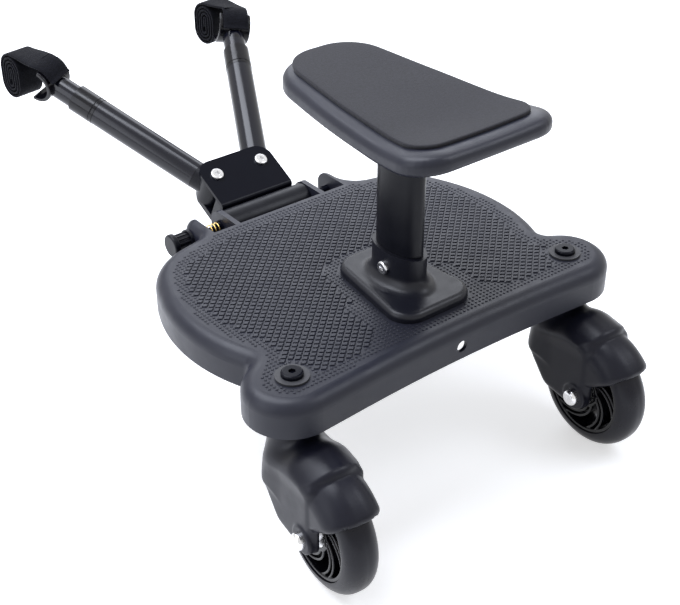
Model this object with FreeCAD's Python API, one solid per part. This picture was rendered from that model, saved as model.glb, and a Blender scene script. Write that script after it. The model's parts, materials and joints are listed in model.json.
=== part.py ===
"""A ride-on board for the back of a pushchair: deck on two casters, seat on a post, two connector arms.

Millimetres. X is to the right, Y is forwards to the pushchair, Z is up from the floor.
Pieces are laid out with Y = 0 on the line of the two caster stems, and moved at the end so that the
origin is the middle of the part's box, on the floor.
"""
import FreeCAD
import Part
import math
import os

Vector = FreeCAD.Vector
Rotation = FreeCAD.Rotation

# Clearances shared by all pieces
overrun = 5.0               # how far cuts run past the faces they open
running_clearance = 0.05    # on the radius of a shaft that turns or slides in a hole
push_clearance = 0.02       # on the radius of a pin that stays in its hole
hole_clearance = 0.3        # on the radius of a hole that a fastener only passes
side_gap = 0.3              # between faces that move past each other
closeness = 0.001           # points nearer than this are one

# Deck
deck_top_z = 158.0
skirt_height = 29.5
deck_wall = 3.2
deck_skin = 4.0
deck_edge_radius = 11.5
stem_half_spacing = 140.0
lobe_radius = 37.5
lobe_front_radius = 36.0
rear_hollow_depth = 11.5
rear_hollow_radius = 1500.0
notch_radius = 8.0
bulge_radius = 160.0
deck_front_y = 214.0
front_corner_radius = 66.0
lobe_front_shares = (1.0, 0.096)        # of the deck's half width and of its front edge's place
notch_shares = (0.852, 0.176)
bulge_shares = (1.006, 0.481)
front_corner_shares = (0.78, 0.935)
rib_thickness = 2.4
rib_pitch_x = 48.0
rib_pitch_y = 44.0
rib_first_y = 22.0
rib_inset = 6.0
rib_columns = 3
rib_rows = 4
hang_hole_radius = 4.9
hang_hole_drop = 18.0
stem_boss_radius = 17.0

# Hinge ears on the deck, and the pull pins in them
hinge_y = 232.0
fin_inner_x = 43.0
fin_thickness = 5.0
ear_inner_x = 70.0
ear_outer_x = 80.0
knob_root_radius = 9.0                  # of the sweep beside the knob
plain_root_radius = 22.0                # of the sweep beside the other ear
ear_corner_radius = 13.0
nose_ease = 0.4                         # of the noses' round beyond half the skirt
pocket_rear_y = 207.0
hinge_beam_depth = 12.0
pin_radius = 4.0
pin_travel = 6.5                        # outwards, when the knob is pulled
pin_freedom = 1.0                       # left between a pulled pin and the barrel
pin_outer_x = 96.0
hinge_pin_inset = 2.0                   # of the right-hand pin in its ear
clip_radius = 7.2
clip_thickness = 1.5
knob_ring_radius = 9.5
knob_ring_thickness = 2.5
knob_neck_radius = 7.6
knob_rib_radius = 0.7
knob_rib_count = 14
knob_flange_radius = 10.2
knob_flange_thickness = 5.5
knob_end_x = 100.0
knob_edge_radius = 1.6
spring_radius = 6.0
spring_wire_radius = 0.6
spring_turns = 5
spring_samples = 6                      # places looked at along each arc

# Casters
wheel_radius = 51.3
tyre_width = 29.0
tyre_shoulder_radius = 13.0
rim_radius = 38.0
rim_width = 20.0
rim_wall = 4.5
rim_lip = 1.5
hub_radius = 14.5
hub_width = 25.0
web_width = 15.0
spoke_count = 6
spoke_width = 5.0
spoke_curve_radius = 15.0
caster_trail = 50.0
fork_slot_width = 33.0
fork_leg_thickness = 8.0
fork_slot_radius = 53.6
fork_cover_radius = 57.5
fork_cover_half_width = 23.0
fork_cover_edge_radius = 16.0
fork_cover_slope = 34.0                 # of the cover's lower edge, rising to the rear
fork_cover_lift = 4.4                   # of that edge above the axle, measured square to it
fork_neck_foot_radius = 20.5
fork_neck_low_z = 78.0
fork_neck_radius = 18.6
fork_leg_edge_radius = 7.0
fork_leg_corner_radius = 15.0
axle_boss_radius = 12.0
axle_boss_height = 1.5
fork_bulge_radius = 20.0
fork_leg_reach = 12.0                   # of the axle's boss, behind and below the axle
fork_crown_radius = 26.0
fork_brow_radius = 9.0
fork_shoulder_shares = (-0.10, 0.86)    # along the trail from stem to axle, of the neck's top height
fork_crown_shares = (0.66, 0.93)
fork_brow_shares = (1.27, 0.88)
fork_crease_shares = (1.25, 0.68)
fork_bulge_shares = (-0.14, 0.52)
fork_shin_shares = (0.22, 0.30)
caster_yaws = {"left": -5.0, "right": -2.0}     # as the casters stand at rest
bearing_radius = 11.0
bearing_width = 7.0
axle_radius = 4.0
axle_head_radius = 7.0
axle_head_height = 5.0
axle_socket_radius = 2.6
axle_socket_depth = 2.6
axle_nut_radius = 7.0
axle_nut_height = 5.5
axle_dome_share = 0.6                   # of the nut's height
spacer_radius = 6.0
stem_radius = 8.0
bush_radius = 11.0
bush_flange_radius = 15.0
bush_flange_thickness = 1.5
stem_top_drop = 7.0                     # the stem's top below the deck's top
caster_washer_radius = 13.0
caster_washer_thickness = 1.6
caster_bolt_radius = 4.0
caster_bolt_head_radius = 8.5
caster_bolt_head_height = 3.4
caster_socket_radius = 3.0
caster_socket_depth = 2.2
caster_nut_radius = 7.5
caster_nut_height = 6.5
caster_nut_top_z = 90.0

# Seat
post_y = 47.6
post_length_y = 50.0
post_width_x = 24.0
post_wall = 2.6
collar_wall = 3.3
collar_height = 36.0
foot_rear_half_width = 40.5
foot_front_half_width = 26.0
foot_rear_y = -4.5
foot_front_y = 99.0
foot_corner_radius = 19.0
foot_thickness = 8.0
foot_edge_radius = 5.0
foot_blend_radius = 10.0
foot_floor = 3.0
foot_screw_half_x = 14.0
foot_screw_rear_y = 4.0
foot_screw_front_y = 88.0
foot_screw_radius = 2.0
foot_screw_head_radius = 4.0
foot_screw_head_height = 2.5
foot_screw_bite = 6.5
pan_rear_half_width = 69.5
pan_belly_half_width = 65.5
pan_front_half_width = 46.0
pan_rear_y = -52.0
pan_belly_y = 66.0
pan_front_y = 162.0
pan_rear_corner_radius = 26.0
pan_belly_radius = 150.0
pan_front_corner_radius = 42.0
pan_rear_top_z = 325.5
pan_dip_drop = 6.0                      # of the dip below the rear's top
pan_dip_y = 65.0
pan_front_drop = 4.5                    # of the front below the rear's top
pan_rim_height = 15.0
pan_wall = 4.0
pan_under_radius = 9.5
pan_upper_radius = 4.5
pan_boss_wall = 3.5
pan_rib_half_spacing = 24.0
pan_rib_first_y = -14.0
pan_rib_pitch_y = 44.0
pan_rib_rows = 4
pad_rear_half_width = 57.5
pad_belly_half_width = 55.5
pad_front_half_width = 34.0
pad_rear_y = -40.0
pad_belly_y = 60.0
pad_front_y = 155.0
pad_rear_corner_radius = 20.0
pad_belly_radius = 120.0
pad_front_corner_radius = 31.0
pad_thickness = 3.6
pad_edge_radius = 1.2
post_bolt_radius = 3.0
post_bolt_head_radius = 5.5
post_bolt_head_height = 3.2
post_bolt_socket_radius = 2.2
post_bolt_socket_depth = 1.8
post_nut_radius = 5.0
post_nut_height = 4.0
post_bolt_lift = 22.0                   # of the lower bolt above the deck's top
pan_bolt_drop = 7.5                     # of the upper bolt below the pan's skin

# Bracket, in the hinge's own frame: X along the hinge, Y out along the arms, Z off the plate
bracket_tilt = 26.0
barrel_radius = 14.0
block_half_width = 36.0
block_reach = 28.0
shelf_lead = 14.0                       # of its front edge ahead of the pivots
shelf_thickness = 5.5
shelf_corner_radius = 14.0
knuckle_gap_top = 5.0
knuckle_gap = 25.5
plate_half_width = 38.0
plate_thickness = 3.0
plate_rear = 14.5
plate_lead = 17.0                       # of its front edge ahead of the pivots
plate_corner_radius = 14.0
plate_lip_height = 10.0
plate_bend_radius = 4.2
pivot_half_spacing = 23.8
pivot_reach = 48.0
pivot_radius = 4.0
pivot_head_radius = 5.9
pivot_head_height = 2.7
pivot_socket_radius = 2.5
pivot_socket_depth = 1.6
pivot_nut_radius = 6.5
pivot_nut_height = 5.5

# Arms, in their own frame: Y along the arm from the pivot, Z off the plate
arm_spread = 25.0
knuckle_radius = 14.0
outer_tube_radius = 12.5
outer_tube_wall = 1.5
outer_tube_start = 18.5
outer_tube_end = 127.0
spigot_length = 24.0
rivet_radius = 2.5
rivet_inset = 12.5                      # from the outer tube's root end
collar_length = 25.0
lock_collar_radius = 12.7
lock_groove_radius = 0.7
lock_groove_inset = 3.5                 # from the outer tube's open end
inner_tube_radius = 10.75
inner_tube_wall = 1.5
inner_tube_room = 17.5                  # to slide in, up to the spigot
inner_tube_show = 19.3                  # past the collar
slide_bush_length = 14.0
snap_window = 4.0
snap_inset = 6.8                        # from the inner tube's end
saddle_sink = 0.5                       # of the cradle's back behind the inner tube's end
saddle_inner_radius = 13.5
saddle_wall = 3.2
saddle_length = 31.0
saddle_stem_length = 22.0
saddle_edge_radius = 1.2

# Straps: a lead off the saddle, then a flattened roll
strap_width = 25.0
strap_thickness = 2.0
strap_lift = 0.8                        # off the saddle's top
strap_samples = 12                      # places looked at along each run and turn
strap_pitch = 2.55
strap_yaw = 9.0
strap_root = 4.0
strap_start_turn = 9.0
strap_lead_fall = 5.0
strap_lead_length = 37.5
strap_outer_radius = 12.6
strap_run = 23.0
strap_half_turns = 8
strap_tail = 12.0

# Derived places
deck_bottom_z = deck_top_z - skirt_height
deck_half_width = stem_half_spacing + lobe_radius
lug_radius = skirt_height / 2
hinge_z = deck_top_z - lug_radius
fin_outer_x = fin_inner_x + fin_thickness
barrel_half_length = fin_inner_x - 2 * side_gap
pin_engagement = pin_travel - pin_freedom
clip_inner_x = fin_outer_x + side_gap
spring_inner_x = clip_inner_x + clip_thickness + side_gap
spring_outer_x = ear_inner_x - side_gap
fork_top_z = deck_bottom_z - bush_flange_thickness - side_gap
fork_half_width = fork_slot_width / 2 + fork_leg_thickness
stem_top_z = deck_top_z - stem_top_drop
collar_length_y = post_length_y + 2 * collar_wall
collar_width_x = post_width_x + 2 * collar_wall
shelf_reach = pivot_reach + shelf_lead
plate_front = pivot_reach + plate_lead
knuckle_gap_low = knuckle_gap_top - knuckle_gap
arm_axis_n = knuckle_gap_top - knuckle_gap / 2
plate_top_n = knuckle_gap_top + plate_thickness
pan_dip_top_z = pan_rear_top_z - pan_dip_drop
pan_front_top_z = pan_rear_top_z - pan_front_drop
rivet_reach = outer_tube_start + rivet_inset
collar_end = outer_tube_end + collar_length
lock_groove_reach = outer_tube_end + lock_groove_inset
inner_tube_start = outer_tube_start + spigot_length + inner_tube_room
inner_tube_end = collar_end + inner_tube_show
saddle_radius = saddle_inner_radius + saddle_wall
snap_reach = inner_tube_end - snap_inset
saddle_reach = inner_tube_end + saddle_radius - saddle_sink
strap_wrap_radius = saddle_radius + strap_lift + strap_thickness / 2
sides = (("left", -1), ("right", 1))


def rounded_outline(corners):
    """A closed wire of straight runs and tangent arcs. Each corner is (x, y, radius)."""
    count = len(corners)
    points = [Vector(x, y, 0) for x, y, radius in corners]
    incoming = [(points[i] - points[i - 1]).normalize() for i in range(count)]
    setbacks = []
    for i in range(count):
        turn = incoming[i].getAngle(incoming[(i + 1) % count])
        setbacks.append(corners[i][2] * math.tan(turn / 2))
    fits = []
    for i in range(count):
        before = points[i].distanceToPoint(points[i - 1])
        after = points[i].distanceToPoint(points[(i + 1) % count])
        need_before = setbacks[i] + setbacks[i - 1]
        need_after = setbacks[i] + setbacks[(i + 1) % count]
        fits.append(min(1.0, before / max(need_before, before), after / max(need_after, after)))
    edges = []
    ends = []
    for i in range(count):
        setback = setbacks[i] * fits[i]
        first = points[i] - incoming[i] * setback
        last = points[i] + incoming[(i + 1) % count] * setback
        middle = (first + last) * 0.5
        if setback > 0:
            half_chord = first.distanceToPoint(last) / 2
            rise = points[i].distanceToPoint(middle)
            bow = half_chord * math.tan(math.atan2(rise, half_chord) / 2)
            top = middle + (points[i] - middle).normalize() * bow
            ends.append((first, last, Part.Arc(first, top, last).toShape()))
        else:
            ends.append((first, last, None))
    for i in range(count):
        first, last, arc = ends[i]
        if arc:
            edges.append(arc)
        start_of_next = ends[(i + 1) % count][0]
        if last.distanceToPoint(start_of_next) > closeness:
            edges.append(Part.LineSegment(last, start_of_next).toShape())
    return Part.Wire(Part.__sortEdges__(edges))


def prism(wire, low, high):
    """The wire's face, drawn up from low to high along Z."""
    solid = Part.Face(wire).extrude(Vector(0, 0, high - low))
    solid.translate(Vector(0, 0, low))
    return solid


def side_prism(wire, left, right):
    """A wire drawn in (y, z), spread along X from left to right."""
    solid = prism(wire, left, right)
    solid.rotate(Vector(0, 0, 0), Vector(1, 1, 1), 120)
    return solid


def box(low, high):
    low = Vector(*low)
    size = Vector(*high) - low
    return Part.makeBox(size.x, size.y, size.z, low)


def rod(radius, start, end):
    """A cylinder between two points."""
    start = Vector(*start)
    along = Vector(*end) - start
    return Part.makeCylinder(radius, along.Length, start, along)


def ring(outer, inner, start, end):
    return rod(outer, start, end).cut(rod(inner, start, end))


def hexagon(radius, start, end):
    """A six-sided bar between two points; radius is to its corners."""
    start = Vector(*start)
    along = Vector(*end) - start
    corners = []
    for i in range(6):
        angle = math.radians(60 * i)
        corners.append(Vector(radius * math.cos(angle), radius * math.sin(angle), 0))
    bar = Part.Face(Part.makePolygon(corners + corners[:1])).extrude(Vector(0, 0, along.Length))
    bar.Placement = FreeCAD.Placement(start, Rotation(Vector(0, 0, 1), along))
    return bar


def oval(length_y, width_x, low, high, middle_y):
    """An upright elliptical bar."""
    ellipse = Part.Ellipse(Vector(0, middle_y, 0), length_y / 2, width_x / 2)
    edge = ellipse.toShape()
    edge.rotate(Vector(0, middle_y, 0), Vector(0, 0, 1), 90)
    return prism(Part.Wire(edge), low, high)


def fuse(shapes):
    joined = shapes[0].multiFuse(shapes[1:])
    return joined.removeSplitter()


def rounded(shape, radius, chosen):
    """The shape with a fillet on the edges that the test picks."""
    return shape.makeFillet(radius, [edge for edge in shape.Edges if chosen(edge)])


def at_height(z):
    """Picks edges that lie wholly at one height."""
    def test(edge):
        span = edge.BoundBox
        return abs(span.ZMin - z) < push_clearance and abs(span.ZMax - z) < push_clearance
    return test


def at_side(x):
    """Picks edges that lie wholly at one distance along X."""
    def test(edge):
        span = edge.BoundBox
        return abs(span.XMin - x) < push_clearance and abs(span.XMax - x) < push_clearance
    return test


def mirrored(shape):
    return shape.mirror(Vector(0, 0, 0), Vector(1, 0, 0))


def pair(shape):
    """The right-hand shape and its mirror image, as two solids of one piece."""
    return Part.makeCompound([shape, mirrored(shape)])


def moved(shape, x, y, z):
    copy = shape.copy()
    copy.translate(Vector(x, y, z))
    return copy


def on_hinge(shape):
    """From the hinge's own frame to its place on the board."""
    copy = shape.copy()
    copy.rotate(Vector(0, 0, 0), Vector(1, 0, 0), bracket_tilt)
    copy.translate(Vector(0, hinge_y, hinge_z))
    return copy


def on_arm(shape, sign):
    """From an arm's own frame to its place on the board."""
    copy = shape.copy()
    copy.rotate(Vector(0, 0, 0), Vector(0, 0, 1), -sign * arm_spread)
    copy.translate(Vector(sign * pivot_half_spacing, pivot_reach, 0))
    return on_hinge(copy)


def button_screw(radius, head_radius, head_height, socket_radius, socket_depth, reach):
    """A domed screw with a hex socket: the head's flat face is at z = 0 and the shank goes down."""
    head = rounded(rod(head_radius, (0, 0, 0), (0, 0, head_height)), head_height / 2, at_height(head_height))
    socket = hexagon(socket_radius, (0, 0, head_height - socket_depth), (0, 0, head_height + overrun))
    return fuse([head.cut(socket), rod(radius, (0, 0, 0), (0, 0, -reach))])


def nut(radius, height, bore):
    """A six-sided nut from z = 0 upwards."""
    return hexagon(radius, (0, 0, 0), (0, 0, height)).cut(rod(bore, (0, 0, 0), (0, 0, height)))


def turned(shape, axis):
    """A shape drawn along Z, turned to point along the axis."""
    copy = shape.copy()
    turn = Rotation(Vector(0, 0, 1), Vector(*axis))
    copy.rotate(Vector(0, 0, 0), turn.Axis, math.degrees(turn.Angle))
    return copy


def deck_outline(with_ears):
    """The deck's plan; with the ears, its front edge sweeps out to the tips of the hinge lugs."""
    def place(shares):
        return shares[0] * deck_half_width, shares[1] * deck_front_y

    def half(root_radius):
        corners = [
            (deck_half_width, -lobe_radius, lobe_radius),
            (*place(lobe_front_shares), lobe_front_radius),
            (*place(notch_shares), notch_radius),
            (*place(bulge_shares), bulge_radius),
            (*place(front_corner_shares), front_corner_radius),
            (ear_outer_x, deck_front_y, root_radius),
        ]
        if with_ears:
            corners.append((ear_outer_x, hinge_y + lug_radius, ear_corner_radius))
        return corners

    right = half(plain_root_radius)
    left = [(-x, y, radius) for x, y, radius in reversed(half(knob_root_radius))]
    rear = [(0, rear_hollow_depth - lobe_radius, rear_hollow_radius)]
    return rounded_outline(rear + right + left)


def beyond_noses():
    """What is cut off the lugs so that they end in half-round noses about the hinge axis."""
    reach = ear_outer_x + overrun
    block = box((-reach, hinge_y, deck_bottom_z - overrun),
                (reach, hinge_y + lug_radius + overrun, deck_top_z + overrun))
    return block.cut(rod(lug_radius + nose_ease, (-reach, hinge_y, hinge_z), (reach, hinge_y, hinge_z)))


def deck():
    """The moulded board: a skirted shell with ribs below, and four hinge lugs at the front."""
    body = prism(deck_outline(True), deck_bottom_z, deck_top_z)
    body = rounded(body, deck_edge_radius, at_height(deck_top_z))
    inner = deck_outline(False).makeOffset2D(-deck_wall)
    ceiling_z = deck_top_z - deck_skin
    hollow = prism(inner, deck_bottom_z - overrun, ceiling_z)
    hollow = rounded(hollow, deck_edge_radius - deck_wall, at_height(ceiling_z))
    rib_low_z = deck_bottom_z + rib_inset
    ribs = []
    for i in range(-rib_columns, rib_columns):
        x = (i + 0.5) * rib_pitch_x
        ribs.append(box((x - rib_thickness / 2, -lobe_radius, rib_low_z),
                        (x + rib_thickness / 2, deck_front_y, ceiling_z)))
    for j in range(rib_rows):
        y = rib_first_y + j * rib_pitch_y
        ribs.append(box((-deck_half_width, y - rib_thickness / 2, rib_low_z),
                        (deck_half_width, y + rib_thickness / 2, ceiling_z)))
    ribs.append(box((-ear_outer_x, deck_front_y - hinge_beam_depth - deck_wall, deck_bottom_z),
                    (ear_outer_x, deck_front_y, ceiling_z)))
    for sign in (-1, 1):
        stem = (sign * stem_half_spacing, 0)
        ribs.append(rod(stem_boss_radius, (*stem, deck_bottom_z), (*stem, ceiling_z)))
    hollow = hollow.cut(ribs[0].multiFuse(ribs[1:]))
    board = body.cut(hollow).cut(beyond_noses())
    gaps = ((-ear_inner_x, -fin_outer_x), (-fin_inner_x, fin_inner_x), (fin_outer_x, ear_inner_x))
    for left_x, right_x in gaps:
        board = board.cut(box((left_x, pocket_rear_y, deck_bottom_z - overrun),
                              (right_x, hinge_y + lug_radius + overrun, deck_top_z + overrun)))
    cuts = [
        rod(pin_radius + running_clearance, (-ear_outer_x - overrun, hinge_y, hinge_z),
            (ear_outer_x + overrun, hinge_y, hinge_z)),
        rod(hang_hole_radius, (0, -lobe_radius - overrun, deck_top_z - hang_hole_drop),
            (0, 0, deck_top_z - hang_hole_drop)),
    ]
    for sign in (-1, 1):
        stem = (sign * stem_half_spacing, 0)
        cuts.append(rod(bush_radius + push_clearance, (*stem, deck_bottom_z - overrun), (*stem, stem_top_z)))
        cuts.append(rod(caster_bolt_radius + hole_clearance, (*stem, deck_bottom_z),
                        (*stem, deck_top_z + overrun)))
    for x, y in foot_screw_places():
        cuts.append(rod(foot_screw_radius + hole_clearance, (x, y, ceiling_z - overrun),
                        (x, y, deck_top_z + overrun)))
    return board.cut(cuts[0].multiFuse(cuts[1:]))


def swivel_bush():
    """A flanged sleeve in the deck that the fork's stem turns in."""
    stem = (stem_half_spacing, 0)
    flange_z = deck_bottom_z - bush_flange_thickness
    sleeve = fuse([rod(bush_radius, (*stem, flange_z), (*stem, stem_top_z)),
                   rod(bush_flange_radius, (*stem, flange_z), (*stem, deck_bottom_z))])
    return sleeve.cut(rod(stem_radius + running_clearance, (*stem, flange_z), (*stem, stem_top_z)))


def caster_washer():
    stem = (stem_half_spacing, 0)
    top_z = deck_top_z + caster_washer_thickness
    hole = caster_bolt_radius + hole_clearance
    return ring(caster_washer_radius, hole, (*stem, deck_top_z), (*stem, top_z))


def caster_bolt():
    seat_z = deck_top_z + caster_washer_thickness
    bolt = button_screw(caster_bolt_radius, caster_bolt_head_radius, caster_bolt_head_height,
                        caster_socket_radius, caster_socket_depth,
                        seat_z - caster_nut_top_z + caster_nut_height)
    return moved(bolt, stem_half_spacing, 0, seat_z)


def caster_nut():
    thread = caster_bolt_radius + push_clearance
    low_z = caster_nut_top_z - caster_nut_height
    return moved(nut(caster_nut_radius, caster_nut_height, thread), stem_half_spacing, 0, low_z)


def fork():
    """A hooded caster fork about a stem at X = 0: neck, two legs, a domed cover over the wheel."""
    axle = (-caster_trail, wheel_radius)
    half = fork_half_width
    slot = fork_slot_width / 2

    def place(shares):
        return -shares[0] * caster_trail, shares[1] * fork_top_z

    leg = side_prism(rounded_outline([
        (*place(fork_shoulder_shares), fork_brow_radius),
        (*place(fork_crown_shares), fork_crown_radius),
        (*place(fork_brow_shares), fork_brow_radius),
        (*place(fork_crease_shares), fork_crown_radius),
        (axle[0] - fork_leg_reach, axle[1] - fork_leg_reach, fork_leg_corner_radius),
        (axle[0] + fork_leg_reach, axle[1] - fork_leg_corner_radius, fork_leg_corner_radius),
        (*place(fork_shin_shares), fork_leg_corner_radius),
        (*place(fork_bulge_shares), fork_bulge_radius),
    ]), -half, half)
    leg = rounded(leg, fork_leg_edge_radius, lambda edge: at_side(half)(edge) or at_side(-half)(edge))
    cover = rod(fork_cover_radius, (-fork_cover_half_width, *axle), (fork_cover_half_width, *axle))
    cover = cover.makeFillet(fork_cover_edge_radius, [edge for edge in cover.Edges if edge.Closed])
    reach = fork_cover_radius + overrun
    under = box((-half, -reach, -2 * reach), (half, reach, fork_cover_lift))
    under.rotate(Vector(0, 0, 0), Vector(1, 0, 0), -fork_cover_slope)
    ahead = box((-half, 0, -reach), (half, reach, reach))
    cover = cover.cut(moved(under.fuse(ahead), 0, *axle))
    neck = Part.makeCone(fork_neck_foot_radius, fork_neck_radius, fork_top_z - fork_neck_low_z,
                         Vector(0, 0, fork_neck_low_z))
    stem = rod(stem_radius, (0, 0, fork_top_z - overrun), (0, 0, stem_top_z - side_gap))
    boss = rod(axle_boss_radius, (-half - axle_boss_height, *axle), (half + axle_boss_height, *axle))
    hood = fuse([leg, cover, neck, stem, boss])
    room = rod(fork_slot_radius, (-slot, *axle), (slot, *axle))
    below = box((-slot, axle[0] - fork_slot_radius - overrun, -overrun),
                (slot, axle[0] + fork_slot_radius, axle[1]))
    bolt_hole = rod(caster_bolt_radius + running_clearance, (0, 0, 0), (0, 0, stem_top_z + overrun))
    nut_pocket = rod(caster_nut_radius + hole_clearance, (0, 0, 0), (0, 0, caster_nut_top_z + side_gap))
    axle_hole = rod(axle_radius + push_clearance, (-half - overrun, *axle), (half + overrun, *axle))
    return hood.cut(room.multiFuse([below, bolt_hole, nut_pocket, axle_hole]))


def wheel_ring(outer, inner, width):
    """A ring about the axle, centred on the wheel's middle plane."""
    axle = (-caster_trail, wheel_radius)
    return ring(outer, inner, (-width / 2, *axle), (width / 2, *axle))


def tyre():
    """The tread ring, with round shoulders."""
    solid = wheel_ring(wheel_radius, rim_radius + push_clearance, tyre_width)
    half = tyre_width / 2
    outer_rims = []
    for edge in solid.Edges:
        if edge.Closed and abs(edge.Curve.Radius - wheel_radius) < push_clearance:
            outer_rims.append(edge)
    return solid.makeFillet(min(tyre_shoulder_radius, half - side_gap), outer_rims)


def rim():
    """Rim, hub and curved spokes with openings between them."""
    pieces = [wheel_ring(rim_radius, rim_radius - rim_wall, rim_width),
              wheel_ring(hub_radius, axle_radius + running_clearance, hub_width)]
    axle = Vector(0, -caster_trail, wheel_radius)
    reach = (hub_radius + rim_radius) / 2
    between = wheel_ring(rim_radius - rim_wall / 2, hub_radius - rim_lip, web_width)
    for i in range(spoke_count):
        angle = 2 * math.pi * i / spoke_count
        middle = axle + Vector(0, math.cos(angle), math.sin(angle)) * reach
        start = (-web_width / 2, middle.y, middle.z)
        end = (web_width / 2, middle.y, middle.z)
        bow = ring(spoke_curve_radius + spoke_width / 2, spoke_curve_radius - spoke_width / 2, start, end)
        keep = box((-web_width, -rim_radius, 0), (web_width, rim_radius, rim_radius))
        keep.rotate(Vector(0, 0, 0), Vector(1, 0, 0), math.degrees(angle))
        keep.translate(Vector(0, axle.y, axle.z))
        pieces.append(bow.common(keep).common(between))
    solid = fuse(pieces)
    for sign in (-1, 1):
        outside = sign * hub_width / 2
        inside = sign * (hub_width / 2 - bearing_width)
        solid = solid.cut(rod(bearing_radius + push_clearance, (inside, axle.y, axle.z),
                              (outside + sign * overrun, axle.y, axle.z)))
    return solid


def wheel_bearings():
    axle = (-caster_trail, wheel_radius)
    rings = []
    for sign in (-1, 1):
        inside = sign * (hub_width / 2 - bearing_width)
        outside = sign * hub_width / 2
        rings.append(ring(bearing_radius, axle_radius + running_clearance, (inside, *axle), (outside, *axle)))
    return Part.makeCompound(rings)


def wheel_spacers():
    """A sleeve on each side between bearing and fork leg keeps the wheel central."""
    axle = (-caster_trail, wheel_radius)
    sleeves = []
    for sign in (-1, 1):
        inside = sign * hub_width / 2
        outside = sign * (fork_slot_width / 2 - side_gap)
        sleeves.append(ring(spacer_radius, axle_radius + running_clearance,
                            (inside, *axle), (outside, *axle)))
    return Part.makeCompound(sleeves)


def axle_bolt():
    seat = fork_half_width + axle_boss_height
    bolt = button_screw(axle_radius, axle_head_radius, axle_head_height, axle_socket_radius,
                        axle_socket_depth, 2 * seat + axle_nut_height / 2)
    return moved(turned(bolt, (1, 0, 0)), seat, -caster_trail, wheel_radius)


def axle_nut():
    """A domed nut on the end of the axle bolt."""
    dome = rounded(rod(axle_nut_radius, (0, 0, 0), (0, 0, axle_nut_height)),
                   axle_nut_height * axle_dome_share, at_height(axle_nut_height))
    dome = dome.cut(rod(axle_radius + push_clearance, (0, 0, -overrun), (0, 0, axle_nut_height / 2)))
    return moved(turned(dome, (-1, 0, 0)), -fork_half_width - axle_boss_height, -caster_trail, wheel_radius)


def foot_screw_places():
    places = []
    for y in (foot_screw_rear_y, foot_screw_front_y):
        for sign in (-1, 1):
            places.append((sign * foot_screw_half_x, y))
    return places


def post_bolt_heights():
    """Heights of the two cross bolts: one in the foot's collar, one in the pan's boss."""
    return deck_top_z + post_bolt_lift, pan_dip_top_z - pan_wall - pan_bolt_drop


def seat_foot():
    """The plate on the deck with the oval collar that the post stands in."""
    outline = tapered_outline(foot_rear_half_width, foot_front_half_width, foot_rear_y, foot_front_y,
                              foot_corner_radius, foot_corner_radius)
    plate = prism(outline, deck_top_z, deck_top_z + foot_thickness)
    plate = rounded(plate, foot_edge_radius, at_height(deck_top_z + foot_thickness))
    collar = oval(collar_length_y, collar_width_x, deck_top_z, deck_top_z + collar_height, post_y)
    foot = fuse([plate, collar])
    seam_z = deck_top_z + foot_thickness

    def seam(edge):
        span = edge.BoundBox
        return at_height(seam_z)(edge) and span.XLength < collar_width_x + push_clearance

    foot = rounded(foot, foot_blend_radius, seam)
    socket = oval(post_length_y + 2 * push_clearance, post_width_x + 2 * push_clearance,
                  deck_top_z + foot_floor, deck_top_z + collar_height + overrun, post_y)
    cuts = [post_bolt_hole(post_bolt_heights()[0])]
    for x, y in foot_screw_places():
        cuts.append(rod(foot_screw_radius + push_clearance, (x, y, deck_top_z - overrun),
                        (x, y, deck_top_z + foot_screw_bite)))
    return foot.cut(socket.multiFuse(cuts))


def foot_screws():
    screws = []
    for x, y in foot_screw_places():
        head_z = deck_top_z - deck_skin
        head = rod(foot_screw_head_radius, (x, y, head_z - foot_screw_head_height), (x, y, head_z))
        shank = rod(foot_screw_radius, (x, y, head_z), (x, y, deck_top_z + foot_screw_bite))
        screws.append(fuse([head, shank]))
    return Part.makeCompound(screws)


def post_bolt_hole(z):
    reach = collar_width_x
    return rod(post_bolt_radius + push_clearance, (-reach, post_y, z), (reach, post_y, z))


def seat_post():
    top_z = pan_dip_top_z - pan_wall - side_gap
    low_z = deck_top_z + foot_floor
    tube = oval(post_length_y, post_width_x, low_z, top_z, post_y)
    bore = oval(post_length_y - 2 * post_wall, post_width_x - 2 * post_wall,
                low_z - overrun, top_z + overrun, post_y)
    holes = [post_bolt_hole(z) for z in post_bolt_heights()]
    return tube.cut(bore.multiFuse(holes))


def tapered_outline(rear_half_width, front_half_width, rear_y, front_y, rear_radius, front_radius):
    """A plan that narrows to the front, with rounded corners."""
    return rounded_outline([
        (-rear_half_width, rear_y, rear_radius),
        (rear_half_width, rear_y, rear_radius),
        (front_half_width, front_y, front_radius),
        (-front_half_width, front_y, front_radius),
    ])


def seat_outline(rear, belly, front):
    """A seat's plan, full at the rear and the belly. Each corner is (half width, y, radius)."""
    right = [rear, belly, front]
    left = [(-half_width, y, radius) for half_width, y, radius in reversed(right)]
    return rounded_outline(right + left)


def pan_outline():
    return seat_outline((pan_rear_half_width, pan_rear_y, pan_rear_corner_radius),
                        (pan_belly_half_width, pan_belly_y, pan_belly_radius),
                        (pan_front_half_width, pan_front_y, pan_front_corner_radius))


def pad_outline():
    return seat_outline((pad_rear_half_width, pad_rear_y, pad_rear_corner_radius),
                        (pad_belly_half_width, pad_belly_y, pad_belly_radius),
                        (pad_front_half_width, pad_front_y, pad_front_corner_radius))


def sag_circle(drop):
    """The circle, in (y, z), of a sagging sheet that lies the given drop below the pan's top."""
    rear = Vector(pan_rear_y, pan_rear_top_z - drop, 0)
    dip = Vector(pan_dip_y, pan_dip_top_z - drop, 0)
    front = Vector(pan_front_y, pan_front_top_z - drop, 0)
    return Part.Arc(rear, dip, front).toShape().Curve


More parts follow.
